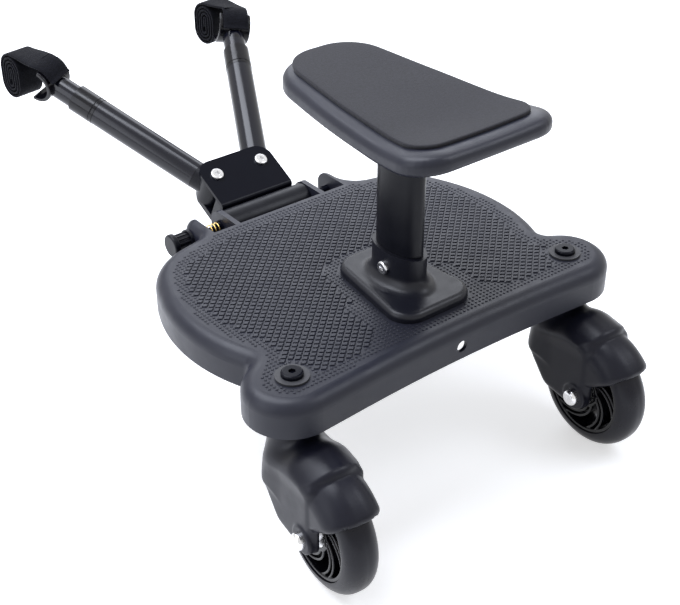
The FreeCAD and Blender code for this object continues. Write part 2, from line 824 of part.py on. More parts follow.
def pan_band(top, bottom):
    """The space between two sagging sheets under the pan's top, wider and longer than the pan."""
    def sheet(drop):
        circle = sag_circle(drop)
        spots = []
        for y in (pan_rear_y - overrun, pan_dip_y, pan_front_y + overrun):
            across = y - circle.Center.x
            spots.append(Vector(y, circle.Center.y - math.sqrt(circle.Radius ** 2 - across ** 2), 0))
        return Part.Arc(*spots).toShape(), spots[0], spots[2]

    upper, upper_rear, upper_front = sheet(top)
    lower, lower_rear, lower_front = sheet(bottom)
    rear = Part.LineSegment(upper_rear, lower_rear).toShape()
    front = Part.LineSegment(lower_front, upper_front).toShape()
    wire = Part.Wire(Part.__sortEdges__([upper, rear, lower, front]))
    return side_prism(wire, -pan_rear_half_width - overrun, pan_rear_half_width + overrun)


def seat_column(outline):
    """An upright column on a plan, past the seat's top and its underside."""
    return prism(outline, pan_dip_top_z - 2 * pan_rim_height, pan_rear_top_z + pan_rim_height)


def sagging_edges(shape, drop):
    """The rim edges of one sagging sheet."""
    circle = sag_circle(drop)

    def on_sheet(point):
        reach = Vector(point.y, point.z, 0).distanceToPoint(circle.Center)
        return abs(reach - circle.Radius) < push_clearance

    chosen = []
    for edge in shape.Edges:
        ends = [edge.valueAt(edge.FirstParameter), edge.valueAt(edge.LastParameter)]
        middle = edge.valueAt((edge.FirstParameter + edge.LastParameter) / 2)
        if all(on_sheet(point) for point in ends + [middle]):
            chosen.append(edge)
    return chosen


def seat_pan():
    """The seat's moulded shell: a sagging top, a rolled rim, a boss for the post."""
    shell = seat_column(pan_outline()).common(pan_band(0, pan_rim_height))
    shell = shell.makeFillet(pan_under_radius, sagging_edges(shell, pan_rim_height))
    shell = shell.makeFillet(pan_upper_radius, sagging_edges(shell, 0))
    inner = pan_outline().makeOffset2D(-pan_wall)
    hollow = seat_column(inner).common(pan_band(pan_wall, pan_rim_height + overrun))
    boss_length = post_length_y + 2 * pan_boss_wall
    boss_width = post_width_x + 2 * pan_boss_wall
    low_z = pan_dip_top_z - pan_rim_height
    boss = oval(boss_length, boss_width, low_z, pan_rear_top_z, post_y)
    shell = shell.cut(hollow.cut(boss.multiFuse(pan_ribs())))
    socket = oval(post_length_y + 2 * push_clearance, post_width_x + 2 * push_clearance,
                  low_z - overrun, pan_dip_top_z - pan_wall, post_y)
    return shell.cut(socket.fuse(post_bolt_hole(post_bolt_heights()[1])))


def pan_ribs():
    """Upright webs under the pan, two along it and some across."""
    low_z = pan_dip_top_z - pan_rim_height + rib_inset
    half = rib_thickness / 2
    ribs = []
    for x in (-pan_rib_half_spacing, pan_rib_half_spacing):
        ribs.append(box((x - half, pan_rear_y, low_z), (x + half, pan_front_y, pan_rear_top_z)))
    for i in range(pan_rib_rows):
        y = pan_rib_first_y + i * pan_rib_pitch_y
        ribs.append(box((-pan_rear_half_width, y - half, low_z),
                        (pan_rear_half_width, y + half, pan_rear_top_z)))
    return ribs


def seat_pad():
    """The thin foam pad glued on the pan, with rounded edges."""
    pad = seat_column(pad_outline()).common(pan_band(-pad_thickness, 0))
    return pad.makeFillet(pad_edge_radius, sagging_edges(pad, -pad_thickness))


def post_bolts():
    """Two bolts across the post, heads to the left."""
    bolts = []
    widths = (collar_width_x, post_width_x + 2 * pan_boss_wall)
    for z, width in zip(post_bolt_heights(), widths):
        bolt = button_screw(post_bolt_radius, post_bolt_head_radius, post_bolt_head_height,
                            post_bolt_socket_radius, post_bolt_socket_depth, width + post_nut_height)
        bolts.append(moved(turned(bolt, (-1, 0, 0)), -width / 2, post_y, z))
    return Part.makeCompound(bolts)


def post_nuts():
    nuts = []
    widths = (collar_width_x, post_width_x + 2 * pan_boss_wall)
    for z, width in zip(post_bolt_heights(), widths):
        plain = nut(post_nut_radius, post_nut_height, post_bolt_radius + push_clearance)
        nuts.append(moved(turned(plain, (1, 0, 0)), width / 2, post_y, z))
    return Part.makeCompound(nuts)


def pivot_holes(radius, low, high):
    return pair(rod(radius, (pivot_half_spacing, pivot_reach, low), (pivot_half_spacing, pivot_reach, high)))


def hinge_block():
    """The moulded block: barrel between the deck's fins, body under the plate, shelf under the arms."""
    shelf_low = knuckle_gap_low - shelf_thickness
    barrel = rod(barrel_radius, (-barrel_half_length, 0, 0), (barrel_half_length, 0, 0))
    body = box((-block_half_width, 0, shelf_low), (block_half_width, block_reach, knuckle_gap_top))
    lip_room = box((-plate_half_width - overrun, -overrun, plate_top_n - plate_lip_height - side_gap),
                   (plate_half_width + overrun, plate_rear + plate_thickness + side_gap, plate_top_n))
    shelf = prism(rounded_outline([
        (-block_half_width, 0, 0),
        (block_half_width, 0, 0),
        (block_half_width, shelf_reach, shelf_corner_radius),
        (-block_half_width, shelf_reach, shelf_corner_radius),
    ]), shelf_low, knuckle_gap_low)
    block = fuse([body.cut(lip_room), barrel, shelf])
    bores = []
    for sign in (-1, 1):
        inside = sign * (barrel_half_length - pin_engagement - side_gap)
        outside = sign * (barrel_half_length + overrun)
        bores.append(rod(pin_radius + running_clearance, (inside, 0, 0), (outside, 0, 0)))
    bores.append(pivot_holes(pivot_radius + push_clearance, shelf_low - overrun, knuckle_gap_top))
    return on_hinge(block.cut(bores[0].multiFuse(bores[1:])))


def bracket_plate():
    """The pressed steel plate over the arm roots, its rear edge bent down in front of the barrel."""
    sheet = prism(rounded_outline([
        (-plate_half_width, plate_rear, 0),
        (plate_half_width, plate_rear, 0),
        (plate_half_width, plate_front, plate_corner_radius),
        (-plate_half_width, plate_front, plate_corner_radius),
    ]), knuckle_gap_top, plate_top_n)
    lip = box((-plate_half_width, plate_rear, plate_top_n - plate_lip_height),
              (plate_half_width, plate_rear + plate_thickness, plate_top_n))
    plate = fuse([sheet, lip])

    def bend(edge):
        span = edge.BoundBox
        return at_height(plate_top_n)(edge) and abs(span.YMax - plate_rear) < push_clearance

    plate = rounded(plate, plate_bend_radius, bend)
    holes = pivot_holes(pivot_radius + push_clearance, knuckle_gap_low, plate_top_n + overrun)
    return on_hinge(plate.cut(holes))


def pivot_screws():
    shelf_low = knuckle_gap_low - shelf_thickness
    screw = button_screw(pivot_radius, pivot_head_radius, pivot_head_height, pivot_socket_radius,
                         pivot_socket_depth, plate_top_n - shelf_low + pivot_nut_height)
    return on_hinge(pair(moved(screw, pivot_half_spacing, pivot_reach, plate_top_n)))


def pivot_nuts():
    low = knuckle_gap_low - shelf_thickness - pivot_nut_height
    plain = nut(pivot_nut_radius, pivot_nut_height, pivot_radius + push_clearance)
    return on_hinge(pair(moved(plain, pivot_half_spacing, pivot_reach, low)))


def along_arm(radius, start, end):
    return rod(radius, (0, start, arm_axis_n), (0, end, arm_axis_n))


def arm_root(sign):
    """The knuckle under the plate with the spigot that fills the tube's end."""
    knuckle = rod(knuckle_radius, (0, 0, knuckle_gap_low + side_gap), (0, 0, knuckle_gap_top - side_gap))
    neck = along_arm(outer_tube_radius - side_gap, 0, outer_tube_start)
    bore_radius = outer_tube_radius - outer_tube_wall
    spigot = along_arm(bore_radius - push_clearance, 0, outer_tube_start + spigot_length)
    root = fuse([knuckle, neck, spigot])
    bore = rod(pivot_radius + running_clearance, (0, 0, knuckle_gap_low), (0, 0, knuckle_gap_top))
    return on_arm(root.cut(bore.fuse(rivet_hole())), sign)


def rivet_hole():
    low = arm_axis_n - outer_tube_radius
    return rod(rivet_radius + push_clearance, (0, rivet_reach, low), (0, rivet_reach, arm_axis_n))


def outer_tube(sign):
    tube = along_arm(outer_tube_radius, outer_tube_start, outer_tube_end)
    bore = along_arm(outer_tube_radius - outer_tube_wall, outer_tube_start, outer_tube_end)
    return on_arm(tube.cut(bore.fuse(rivet_hole())), sign)


def root_rivet(sign):
    """A blind rivet that holds the tube on the spigot, put in from below."""
    low = arm_axis_n - outer_tube_radius + outer_tube_wall / 2
    return on_arm(rod(rivet_radius, (0, rivet_reach, low), (0, rivet_reach, arm_axis_n)), sign)


def lock_collar(sign):
    """The sleeve at the tube's end, with a groove that marks its turning joint."""
    start = outer_tube_end + side_gap
    sleeve = along_arm(lock_collar_radius, start, collar_end)
    sleeve = sleeve.cut(along_arm(inner_tube_radius + running_clearance, start, collar_end))
    groove = Part.makeTorus(lock_collar_radius, lock_groove_radius, Vector(0, lock_groove_reach, arm_axis_n),
                            Vector(0, 1, 0))
    return on_arm(sleeve.cut(groove), sign)


def snap_hole(inset):
    half = snap_window / 2 - inset
    return box((-half, snap_reach - half, arm_axis_n),
               (half, snap_reach + half, arm_axis_n + inner_tube_radius))


def inner_tube(sign):
    tube = along_arm(inner_tube_radius, inner_tube_start, inner_tube_end)
    bore = along_arm(inner_tube_radius - inner_tube_wall, inner_tube_start, inner_tube_end)
    return on_arm(tube.cut(bore).cut(snap_hole(0)), sign)


def slide_bush(sign):
    """A plug in the inner tube's end whose flange runs in the outer tube."""
    bore = inner_tube_radius - inner_tube_wall - push_clearance
    plug = along_arm(bore, inner_tube_start, inner_tube_start + slide_bush_length)
    flange = along_arm(outer_tube_radius - outer_tube_wall - running_clearance,
                       inner_tube_start - inner_tube_wall, inner_tube_start)
    return on_arm(fuse([plug, flange]), sign)


def saddle(sign):
    """The half-round cradle on the arm's end, with a stem that snaps into the tube."""
    half = saddle_length / 2
    middle = (saddle_reach, arm_axis_n)
    cradle = rod(saddle_radius, (-half, *middle), (half, *middle))
    cradle = rounded(cradle, saddle_edge_radius, lambda edge: edge.Closed)
    boss = along_arm(inner_tube_radius, inner_tube_end, saddle_reach)
    bore = inner_tube_radius - inner_tube_wall - push_clearance
    stem = along_arm(bore, inner_tube_end - saddle_stem_length, saddle_reach)
    tab = snap_hole(push_clearance).common(along_arm(inner_tube_radius, inner_tube_start, inner_tube_end))
    solid = fuse([cradle, boss, stem, tab])
    hollow = rod(saddle_inner_radius, (-half - overrun, *middle), (half + overrun, *middle))
    front = box((-half - overrun, saddle_reach, arm_axis_n - saddle_radius - overrun),
                (half + overrun, saddle_reach + saddle_radius + overrun,
                 arm_axis_n + saddle_radius + overrun))
    return on_arm(solid.cut(hollow.fuse(front)), sign)


def strap_path():
    """The strap's middle line from the saddle's top to the roll's core, as runs and turns to the right."""
    steps = [("run", strap_root),
             ("turn", strap_wrap_radius, strap_start_turn),
             ("run", strap_lead_length),
             ("turn", strap_outer_radius, 90 - strap_lead_fall),
             ("run", strap_run)]
    radius = strap_outer_radius
    for i in range(strap_half_turns):
        radius -= strap_pitch / 2
        steps.append(("turn", radius, 180))
        steps.append(("run", strap_run if i < strap_half_turns - 1 else strap_tail))
    return steps


def strap_section():
    """The wire round the strap's edge view, its least gap to itself and its length."""
    heading = math.radians(strap_start_turn - strap_lead_fall)
    place = Vector(-math.sin(heading), math.cos(heading), 0) * strap_wrap_radius
    place -= Vector(math.cos(heading), math.sin(heading), 0) * strap_root
    upper = []
    lower = []
    samples = []
    length = 0
    half = strap_thickness / 2
    caps = []
    for step in strap_path():
        along = Vector(math.cos(heading), math.sin(heading), 0)
        over = Vector(-along.y, along.x, 0)
        if not caps:
            caps.append(Part.LineSegment(place + over * half, place - over * half).toShape())
        if step[0] == "run":
            end = place + along * step[1]
            upper.append(Part.LineSegment(place + over * half, end + over * half).toShape())
            lower.append(Part.LineSegment(place - over * half, end - over * half).toShape())
            points = [place + along * (step[1] * i / strap_samples) for i in range(strap_samples)]
            stretch = step[1]
        else:
            radius, turn = step[1], math.radians(step[2])
            centre = place - over * radius

            def spot(share, reach):
                angle = heading + math.pi / 2 - turn * share
                return centre + Vector(math.cos(angle), math.sin(angle), 0) * reach

            end = spot(1, radius)
            upper.append(Part.Arc(*[spot(share, radius + half) for share in (0, 0.5, 1)]).toShape())
            lower.append(Part.Arc(*[spot(share, radius - half) for share in (0, 0.5, 1)]).toShape())
            points = [spot(i / strap_samples, radius) for i in range(strap_samples)]
            stretch = radius * turn
            heading -= turn
        for i, point in enumerate(points):
            samples.append((length + stretch * i / len(points), point))
        length += stretch
        place = end
    over = Vector(-math.sin(heading), math.cos(heading), 0)
    caps.append(Part.LineSegment(place + over * half, place - over * half).toShape())
    wire = Part.Wire(Part.__sortEdges__(upper + lower + caps))
    return wire, least_gap(samples, strap_thickness), length


def least_gap(samples, thickness):
    """The least distance between points that lie well apart along a line, less its thickness."""
    least = None
    for i, (at, point) in enumerate(samples):
        for other_at, other in samples[:i]:
            if at - other_at > math.pi * thickness:
                gap = point.distanceToPoint(other) - thickness
                least = gap if least is None else min(least, gap)
    return least


def strap(sign):
    """The touch strap: over the saddle's top and rolled up ahead of it."""
    wire, gap, length = strap_section()
    band = prism(wire, -strap_width / 2, strap_width / 2)
    band.rotate(Vector(0, 0, 0), Vector(1, 0, 0), 90)
    band.rotate(Vector(0, 0, 0), Vector(0, 0, 1), 90 + strap_yaw)
    mark = Part.Vertex(0, saddle_reach, arm_axis_n)
    centre = on_arm(mark, sign).Point
    return moved(band, centre.x, centre.y, centre.z)


def release_knob():
    """The pull knob on the pin's outer end: a ring by the ear, a ribbed neck, a round flange."""
    start = ear_outer_x + side_gap
    axis = (hinge_y, hinge_z)
    ring_end = start + knob_ring_thickness
    flange_start = knob_end_x - knob_flange_thickness
    flange = rod(knob_flange_radius, (flange_start, *axis), (knob_end_x, *axis))
    flange = rounded(flange, knob_edge_radius, lambda edge: edge.Closed)
    pieces = [rod(knob_ring_radius, (start, *axis), (ring_end, *axis)),
              rod(knob_neck_radius, (start, *axis), (knob_end_x - knob_edge_radius, *axis)),
              flange]
    for i in range(knob_rib_count):
        angle = 2 * math.pi * i / knob_rib_count
        y = hinge_y + knob_neck_radius * math.cos(angle)
        z = hinge_z + knob_neck_radius * math.sin(angle)
        pieces.append(rod(knob_rib_radius, (start, y, z), (flange_start + knob_edge_radius, y, z)))
    return fuse(pieces).cut(rod(pin_radius + push_clearance, (ear_inner_x, *axis), (pin_outer_x, *axis)))


def release_pin():
    tip_x = barrel_half_length - pin_engagement
    return rod(pin_radius, (tip_x, hinge_y, hinge_z), (pin_outer_x, hinge_y, hinge_z))


def hinge_pin():
    """The plain pin on the right, fixed in its ear."""
    return rod(pin_radius, (barrel_half_length - pin_engagement, hinge_y, hinge_z),
               (ear_outer_x - hinge_pin_inset, hinge_y, hinge_z))


def pin_clip():
    """The clip on the pin that the spring pushes against."""
    start = (clip_inner_x, hinge_y, hinge_z)
    end = (clip_inner_x + clip_thickness, hinge_y, hinge_z)
    return ring(clip_radius, pin_radius + push_clearance, start, end)


def spring_line():
    """Quarter turns of a helix on the pin: places and directions, from the clip to the ear."""
    first = spring_inner_x + spring_wire_radius
    rise = spring_outer_x - spring_wire_radius - first
    steps = 4 * spring_turns
    stations = []
    for i in range(steps + 1):
        angle = math.pi / 2 * i
        place = Vector(first + rise * i / steps, hinge_y + spring_radius * math.cos(angle),
                       hinge_z + spring_radius * math.sin(angle))
        slope = rise / spring_turns / (2 * math.pi)
        along = Vector(slope, -spring_radius * math.sin(angle), spring_radius * math.cos(angle)).normalize()
        stations.append((place, along))
    return stations


def tangent_arc(start, corner, end):
    """The arc that leaves start towards corner and reaches end."""
    middle = (start + end) * 0.5
    half_chord = start.distanceToPoint(end) / 2
    rise = corner.distanceToPoint(middle)
    bow = half_chord * math.tan(math.atan2(rise, half_chord) / 2)
    return Part.Arc(start, middle + (corner - middle).normalize() * bow, end).toShape()


def pin_spring():
    """The coil spring between clip and ear, one unbroken wire on pairs of arcs."""
    stations = spring_line()
    edges = []
    samples = []
    for (start, leave), (end, arrive) in zip(stations, stations[1:]):
        chord = end - start
        both = leave + arrive
        spread = 2 * (1 - leave.dot(arrive))
        lean = chord.dot(both)
        reach = (math.sqrt(lean * lean + spread * chord.dot(chord)) - lean) / spread
        joint = (start + leave * reach + end - arrive * reach) * 0.5
        edges.append(tangent_arc(start, start + leave * reach, joint))
        edges.append(tangent_arc(joint, end - arrive * reach, end))
    length = 0
    for edge in edges:
        span = edge.LastParameter - edge.FirstParameter
        for i in range(spring_samples):
            point = edge.valueAt(edge.FirstParameter + span * i / spring_samples)
            samples.append((length + edge.Length * i / spring_samples, point))
        length += edge.Length
    start, leave = stations[0]
    section = Part.Wire(Part.Circle(start, leave, spring_wire_radius).toShape())
    sweep = Part.BRepOffsetAPI.MakePipeShell(Part.Wire(edges))
    sweep.add(section)
    sweep.build()
    sweep.makeSolid()
    return sweep.shape(), least_gap(samples, 2 * spring_wire_radius)


def all_pieces():
    """Every piece by name."""
    spring, spring_gap = pin_spring()
    wire, strap_gap, strap_length = strap_section()
    print("spring: least gap %.2f" % spring_gap)
    print("strap: least gap %.2f, length %.0f" % (strap_gap, strap_length))
    pieces = {
        "deck": deck(),
        "swivel_bushes": pair(swivel_bush()),
        "caster_washers": pair(caster_washer()),
        "caster_bolts": pair(caster_bolt()),
        "caster_nuts": pair(caster_nut()),
        "seat_foot": seat_foot(),
        "foot_screws": foot_screws(),
        "seat_post": seat_post(),
        "seat_pan": seat_pan(),
        "seat_pad": seat_pad(),
        "post_bolts": post_bolts(),
        "post_nuts": post_nuts(),
        "hinge_block": hinge_block(),
        "bracket_plate": bracket_plate(),
        "pivot_screws": pivot_screws(),
        "pivot_nuts": pivot_nuts(),
        "hinge_pin": hinge_pin(),
        "release_knob": mirrored(release_knob()),
        "release_pin": mirrored(release_pin()),
        "pin_clip": mirrored(pin_clip()),
        "pin_spring": mirrored(spring),
    }
    caster_makers = {"fork": fork, "axle_bolt": axle_bolt, "axle_nut": axle_nut, "rim": rim, "tyre": tyre,
                     "wheel_bearings": wheel_bearings, "wheel_spacers": wheel_spacers}
    for name, make in caster_makers.items():
        shape = make()
        for side, sign in sides:
            turned_shape = shape.copy()
            turned_shape.rotate(Vector(0, 0, 0), Vector(0, 0, 1), caster_yaws[side])
            pieces[side + "_" + name] = moved(turned_shape, sign * stem_half_spacing, 0, 0)
    arm_makers = {"arm_root": arm_root, "outer_tube": outer_tube, "root_rivet": root_rivet,
                  "lock_collar": lock_collar, "inner_tube": inner_tube, "slide_bush": slide_bush,
                  "saddle": saddle, "strap": strap}
    for name, make in arm_makers.items():
        for side, sign in sides:
            pieces[side + "_" + name] = make(sign)
    return pieces


def main():
    os.makedirs("parts", exist_ok=True)
    pieces = all_pieces()
    reach = Part.makeCompound(list(pieces.values())).optimalBoundingBox(False, False)
    middle_y = (reach.YMin + reach.YMax) / 2
    print("middle of the box ahead of the stems: %.4f" % middle_y)
    for name, shape in pieces.items():
        placed = moved(shape, 0, -middle_y, 0)
        if not placed.isValid():
            print("not valid:", name)
        placed.exportStep(os.path.join("parts", name + ".step"))


main()
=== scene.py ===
"""The looks of a ride-on buggy board: moulded tread deck, casters, padded seat, arms and rolled straps.

Metres. X is to the right, Y is forwards to the pushchair, Z is up from the floor.
"""
import itertools
import json
import math

import bpy
import numpy as np
from mathutils import Matrix, Vector, noise


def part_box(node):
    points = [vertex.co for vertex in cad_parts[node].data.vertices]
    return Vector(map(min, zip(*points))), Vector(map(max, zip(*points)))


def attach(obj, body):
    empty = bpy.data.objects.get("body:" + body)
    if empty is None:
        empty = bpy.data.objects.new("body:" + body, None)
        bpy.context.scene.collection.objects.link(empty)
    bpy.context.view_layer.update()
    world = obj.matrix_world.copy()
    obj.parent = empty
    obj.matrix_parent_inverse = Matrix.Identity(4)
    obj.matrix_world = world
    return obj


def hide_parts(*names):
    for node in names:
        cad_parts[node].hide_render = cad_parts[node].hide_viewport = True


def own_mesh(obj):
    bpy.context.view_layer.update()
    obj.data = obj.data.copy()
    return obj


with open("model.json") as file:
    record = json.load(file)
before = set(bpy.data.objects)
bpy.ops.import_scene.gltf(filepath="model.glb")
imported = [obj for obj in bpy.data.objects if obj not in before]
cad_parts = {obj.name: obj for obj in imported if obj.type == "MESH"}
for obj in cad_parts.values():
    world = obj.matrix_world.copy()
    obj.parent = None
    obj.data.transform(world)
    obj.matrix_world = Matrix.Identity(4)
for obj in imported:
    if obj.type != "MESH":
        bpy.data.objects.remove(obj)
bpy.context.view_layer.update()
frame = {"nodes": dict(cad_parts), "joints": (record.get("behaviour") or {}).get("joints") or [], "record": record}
nodes = frame["nodes"]
joints = {joint["name"]: joint for joint in frame["joints"]}
mounts = {mount["name"]: mount for mount in frame["record"]["mounts"]}
sides = {"left": -1, "right": 1}

# Camera: left of the middle, behind the line of the caster stems, off the floor
camera_offset = (-0.5847, -0.6253, 0.7217)
camera_azimuth = -37.994
camera_elevation = 33.126
camera_clip_start = 0.05
lens_pixels = 1320.0
picture_width = 680.0
quarter_turn = 90.0

# Tread: diamond studs on a centred lattice, and a band of small dots round the field
tread_pitch_x = 0.00385
tread_pitch_y = 0.00360
stud_half_x = 0.00310
stud_half_y = 0.00225
stud_height = 0.0010
stud_shoulder = 0.00025
stud_crown_share = 0.74
dot_half_x = 0.00135
dot_half_y = 0.00130
dot_height = 0.0006
dot_crown_share = 0.55
stud_sink = 0.0003
dot_edge_gap = 0.0035
stud_edge_gap = 0.0135
foot_dot_gap = 0.0020
foot_stud_gap = 0.0125
stem_dot_gap = 0.0150
stem_stud_gap = 0.0180
rear_lane_half_width = 0.057
rear_lane_flare_y = 0.012
rear_lane_end_y = 0.050
rear_lane_flare = 0.9
tread_front_y = 0.2030
flat_tolerance = 0.00005                # of faces that count as level
flat_digits = 6                         # kept of a place, in matching the faces' sides

# Seat: the dished top, its heights from the floor, and the thin pad on it
pan_rear_top_z = 0.3275
pan_dip_y = 0.012
pan_dip_top_z = 0.3190
pan_front_top_z = 0.3225
pan_dish = 0.0025                       # rise of the top's sides over its middle
pad_rear = (0.0580, -0.0375, 0.019)     # half width, place along Y, corner radius
pad_belly = (0.0480, 0.062, 0.700)
pad_front = (0.0355, 0.154, 0.0340)
pad_foot_inset = 0.0004
pad_edge_insets = (0.0, 0.0001, 0.0005, 0.0013)
pad_edge_shares = (0.35, 0.75, 0.95, 1.0)       # of the edge's height, at these insets
pad_edge_height = 0.0030
pad_crown_height = 0.0038
pad_crown_reach = 0.012
pad_ripple = 0.00022
pad_ripple_length = 0.045
pad_lift = -0.0008
pad_rings = 14
pad_points = 240

# Seat pan: a shell whose top falls away outside the pad
pan_rear = (0.0705, -0.053, 0.027)
pan_belly = (0.0595, 0.066, 0.800)
pan_front = (0.0435, 0.158, 0.0415)
pan_rim_height = 0.0150
pan_wall = 0.004
pan_shoulder_width = 0.016
pan_shoulder_drop = 0.0050
pan_upper_radius = 0.0045
pan_under_radius = 0.0040
pan_rib_half_spacing = 0.024
pan_rib_first_y = -0.014
pan_rib_pitch_y = 0.044
pan_rib_rows = 4
pan_rib_thickness = 0.0022
pan_rib_inset = 0.0040
post_y = 0.0476
post_half_length = 0.025
post_half_width = 0.0120
post_room = 0.0002
boss_wall = 0.0035

# Caster forks, from the stem on the floor: hood and legs, rear cover, neck, slot for the wheel
fork_half_width = 0.0245
fork_edge_radius = 0.0080
fork_outline = ((0.006, 0.096, 0.012), (-0.034, 0.107, 0.022), (-0.0620, 0.1035, 0.006),
                (-0.0625, 0.066, 0.012), (-0.0620, 0.0393, 0.012), (-0.0380, 0.0370, 0.012),
                (-0.012, 0.040, 0.016), (0.0105, 0.066, 0.022))
crown_half_width = 0.0240
crown_edge_radius = 0.0215
crown_outline = ((0.010, 0.098, 0.012), (-0.032, 0.1185, 0.028), (-0.0635, 0.1130, 0.006),
                 (-0.0610, 0.088, 0.006), (0.000, 0.080, 0.010))
crown_blend = 0.008
fork_neck_radius = 0.0188
fork_neck_low_z = 0.074
fork_neck_flare = 0.0025
fork_blend = 0.012
fork_crease = 0.0012
fork_top_gap = 0.0003                   # under the swivel bush
fork_low_share = 0.5                    # of the cover's radius, that the grid takes in below the axle
cover_radius = 0.0575
cover_half_width = 0.0236
cover_edge_radius = 0.0205
cover_slope = 34.0
cover_lift = 0.0044
cover_corner = 0.0060
slot_half_width = 0.0165
slot_radius = 0.0536
slot_edge_radius = 0.0080
boss_radius = 0.0120
boss_height = 0.0015
boss_edge = 0.0010
axle_hole_radius = 0.0042
stem_radius = 0.0080
stem_bore_radius = 0.0053
nut_room_radius = 0.0088
nut_room = 0.0006                       # above the nut
field_step = 0.0011
slack_cells = 3                         # of the field's grid, left round a shape
neck_slack_cells = 12
outline_points = 120
corner_steps = 24

# Rims: ring, hub, grooved spokes that sweep back
rim_radius = 0.0380
rim_wall = 0.0032
rim_half_width = 0.0136
spoke_half_width = 0.0125
spoke_count = 6
spoke_thickness = 0.0066
spoke_sweep = 78.0
spoke_groove = 0.0020
spoke_groove_depth = 0.0060
spoke_edge = 0.0006
hub_radius = 0.0145
hub_half_width = 0.0125
bearing_radius = 0.0110
bearing_width = 0.0070
bearing_room = 0.0001
axle_radius = 0.0040
rim_step = 0.0007

# Straps
strap_width = 0.025
strap_thickness = 0.0020
strap_edge = 0.0006
strap_edge_shares = (0.3, 0.75)         # of the edge's width and of half the thickness, on its round
strap_face_shares = (-0.5, 0.0, 0.5)    # of half the width, between the edges
strap_pitch = 0.0034
strap_yaw = 9.0
strap_wrap_radius = 0.0185
strap_touch_angle = 128.0               # where the strap meets the saddle, from the arm's line
strap_bend_steps = 8
strap_bend_share = 0.5
strap_lead_fall = 0.5
strap_lead_radius = 0.0300
strap_lead_length = 0.0310
strap_outer_radius = 0.0150
strap_run = 0.0130
strap_half_turns = 8
strap_tail = 0.0090
strap_root_reach = 0.0165
strap_root_height = 0.0125
strap_step = 0.0015
arm_tilt = 26.0
arm_spread = 25.0

# Moulded plastic: textures in features a metre, depths in metres
tone_features = 22.0
tone_swing = 0.07
gloss_features = 70.0
gloss_swing = 0.05
fine_detail = 3.0
grain_detail = 2.0
grain_roughness = 0.6
grain_depth = 0.0002

# Powder coat
coat_tone_features = 40.0
coat_tone_swing = 0.04
coat_gloss_features = 60.0
coat_gloss_less = 0.015
coat_gloss_more = 0.02
peel_features = 420.0
peel_detail = 1.0
peel_depth = 0.0002

# Bright metal with rub marks
rub_tone_features = 300.0
rub_tone_share = 0.88
rub_gloss_features = 900.0
rub_gloss_detail = 4.0
rub_gloss_less = 0.05
rub_gloss_more = 0.1
rub_features = 2200.0
rub_strength = 0.06
rub_depth = 0.0001

# Pad cloth
cloth_sheen = 0.08
cloth_sheen_roughness = 0.5
thread_features = 420.0
thread_waver = 1.2
thread_waver_features = 1.5
thread_strength = 0.25
thread_depth = 0.0003
speckle_features = 480.0
speckle_detail = 4.0
speckle_roughness = 0.75
speckle_shares = (0.48, 1.56)           # of the colour, in the dark and in the light
fuzz_strength = 0.35
fuzz_depth = 0.0004

# Strap webbing
loop_sheen = 0.06
loop_sheen_roughness = 0.4
loop_specular = 0.1
loop_features = 720.0
loop_randomness = 0.55
loop_shares = (1.35, 0.55)
loop_strength = 0.55
loop_depth = 0.0006
band_features = 260.0
band_waver = 0.8
band_strength = 0.25
band_depth = 0.0004

# Stage
floor_half_size = 6.0
floor_colour = (0.93, 0.93, 0.935)
floor_roughness = 0.6
floor_specular = 0.1
floor_glow = 0.55                       # only as seen directly, in mirrors and through clear pieces
surround_light = 0.30                   # on the part; the surround is seen as white
white = (1, 1, 1, 1)
lamp_colour = (0.86, 0.90, 1.0)
# name, place, point aimed at, width and height, watts
lamps = (
    ("top_softbox", (-0.45, 0.55, 1.7), (0, 0, 0.1), (1.3, 1.2), 36),
    ("strip_softbox", (-0.05, -0.05, 1.65), (-0.05, 0.1, 0.15), (0.7, 0.25), 3.5),
    ("back_softbox", (0.95, 1.25, 1.05), (0, 0, 0.15), (1.4, 0.9), 10),
    ("right_softbox", (0.75, -0.75, 1.3), (0, -0.1, 0.15), (0.6, 0.7), 6),
    ("left_softbox", (-1.6, 0.1, 0.8), (0, 0, 0.15), (0.9, 1.2), 8),
)


def material(name, colour, roughness, metallic=0.0):
    """A new material with its shader set up; returns the material, its node tree and the shader."""
    made = bpy.data.materials.new(name)
    made.use_nodes = True
    tree = made.node_tree
    shader = tree.nodes["Principled BSDF"]
    shader.inputs["Base Color"].default_value = (*colour, 1.0)
    shader.inputs["Roughness"].default_value = roughness
    shader.inputs["Metallic"].default_value = metallic
    return made, tree, shader


def add(tree, kind, **settings):
    """A node of one kind, with its settings and input values."""
    made = tree.nodes.new(kind)
    for key, value in settings.items():
        if key in made.inputs:
            made.inputs[key].default_value = value
        else:
            setattr(made, key, value)
    return made


def noise_at(tree, scale, detail=2.0, rough=0.5):
    """Noise in the object's own metres; scale is features a metre."""
    place = tree.nodes.get("Texture Coordinate") or add(tree, "ShaderNodeTexCoord")
    made = add(tree, "ShaderNodeTexNoise", Scale=scale, Detail=detail, Roughness=rough)
    tree.links.new(place.outputs["Object"], made.inputs["Vector"])
    return made.outputs["Fac"]


def spread(tree, source, low, high, from_low=0.3, from_high=0.7):
    """The source's values, stretched to a range."""
    made = add(tree, "ShaderNodeMapRange")
    for key, value in (("From Min", from_low), ("From Max", from_high), ("To Min", low), ("To Max", high)):
        made.inputs[key].default_value = value
    tree.links.new(source, made.inputs["Value"])
    return made.outputs["Result"]


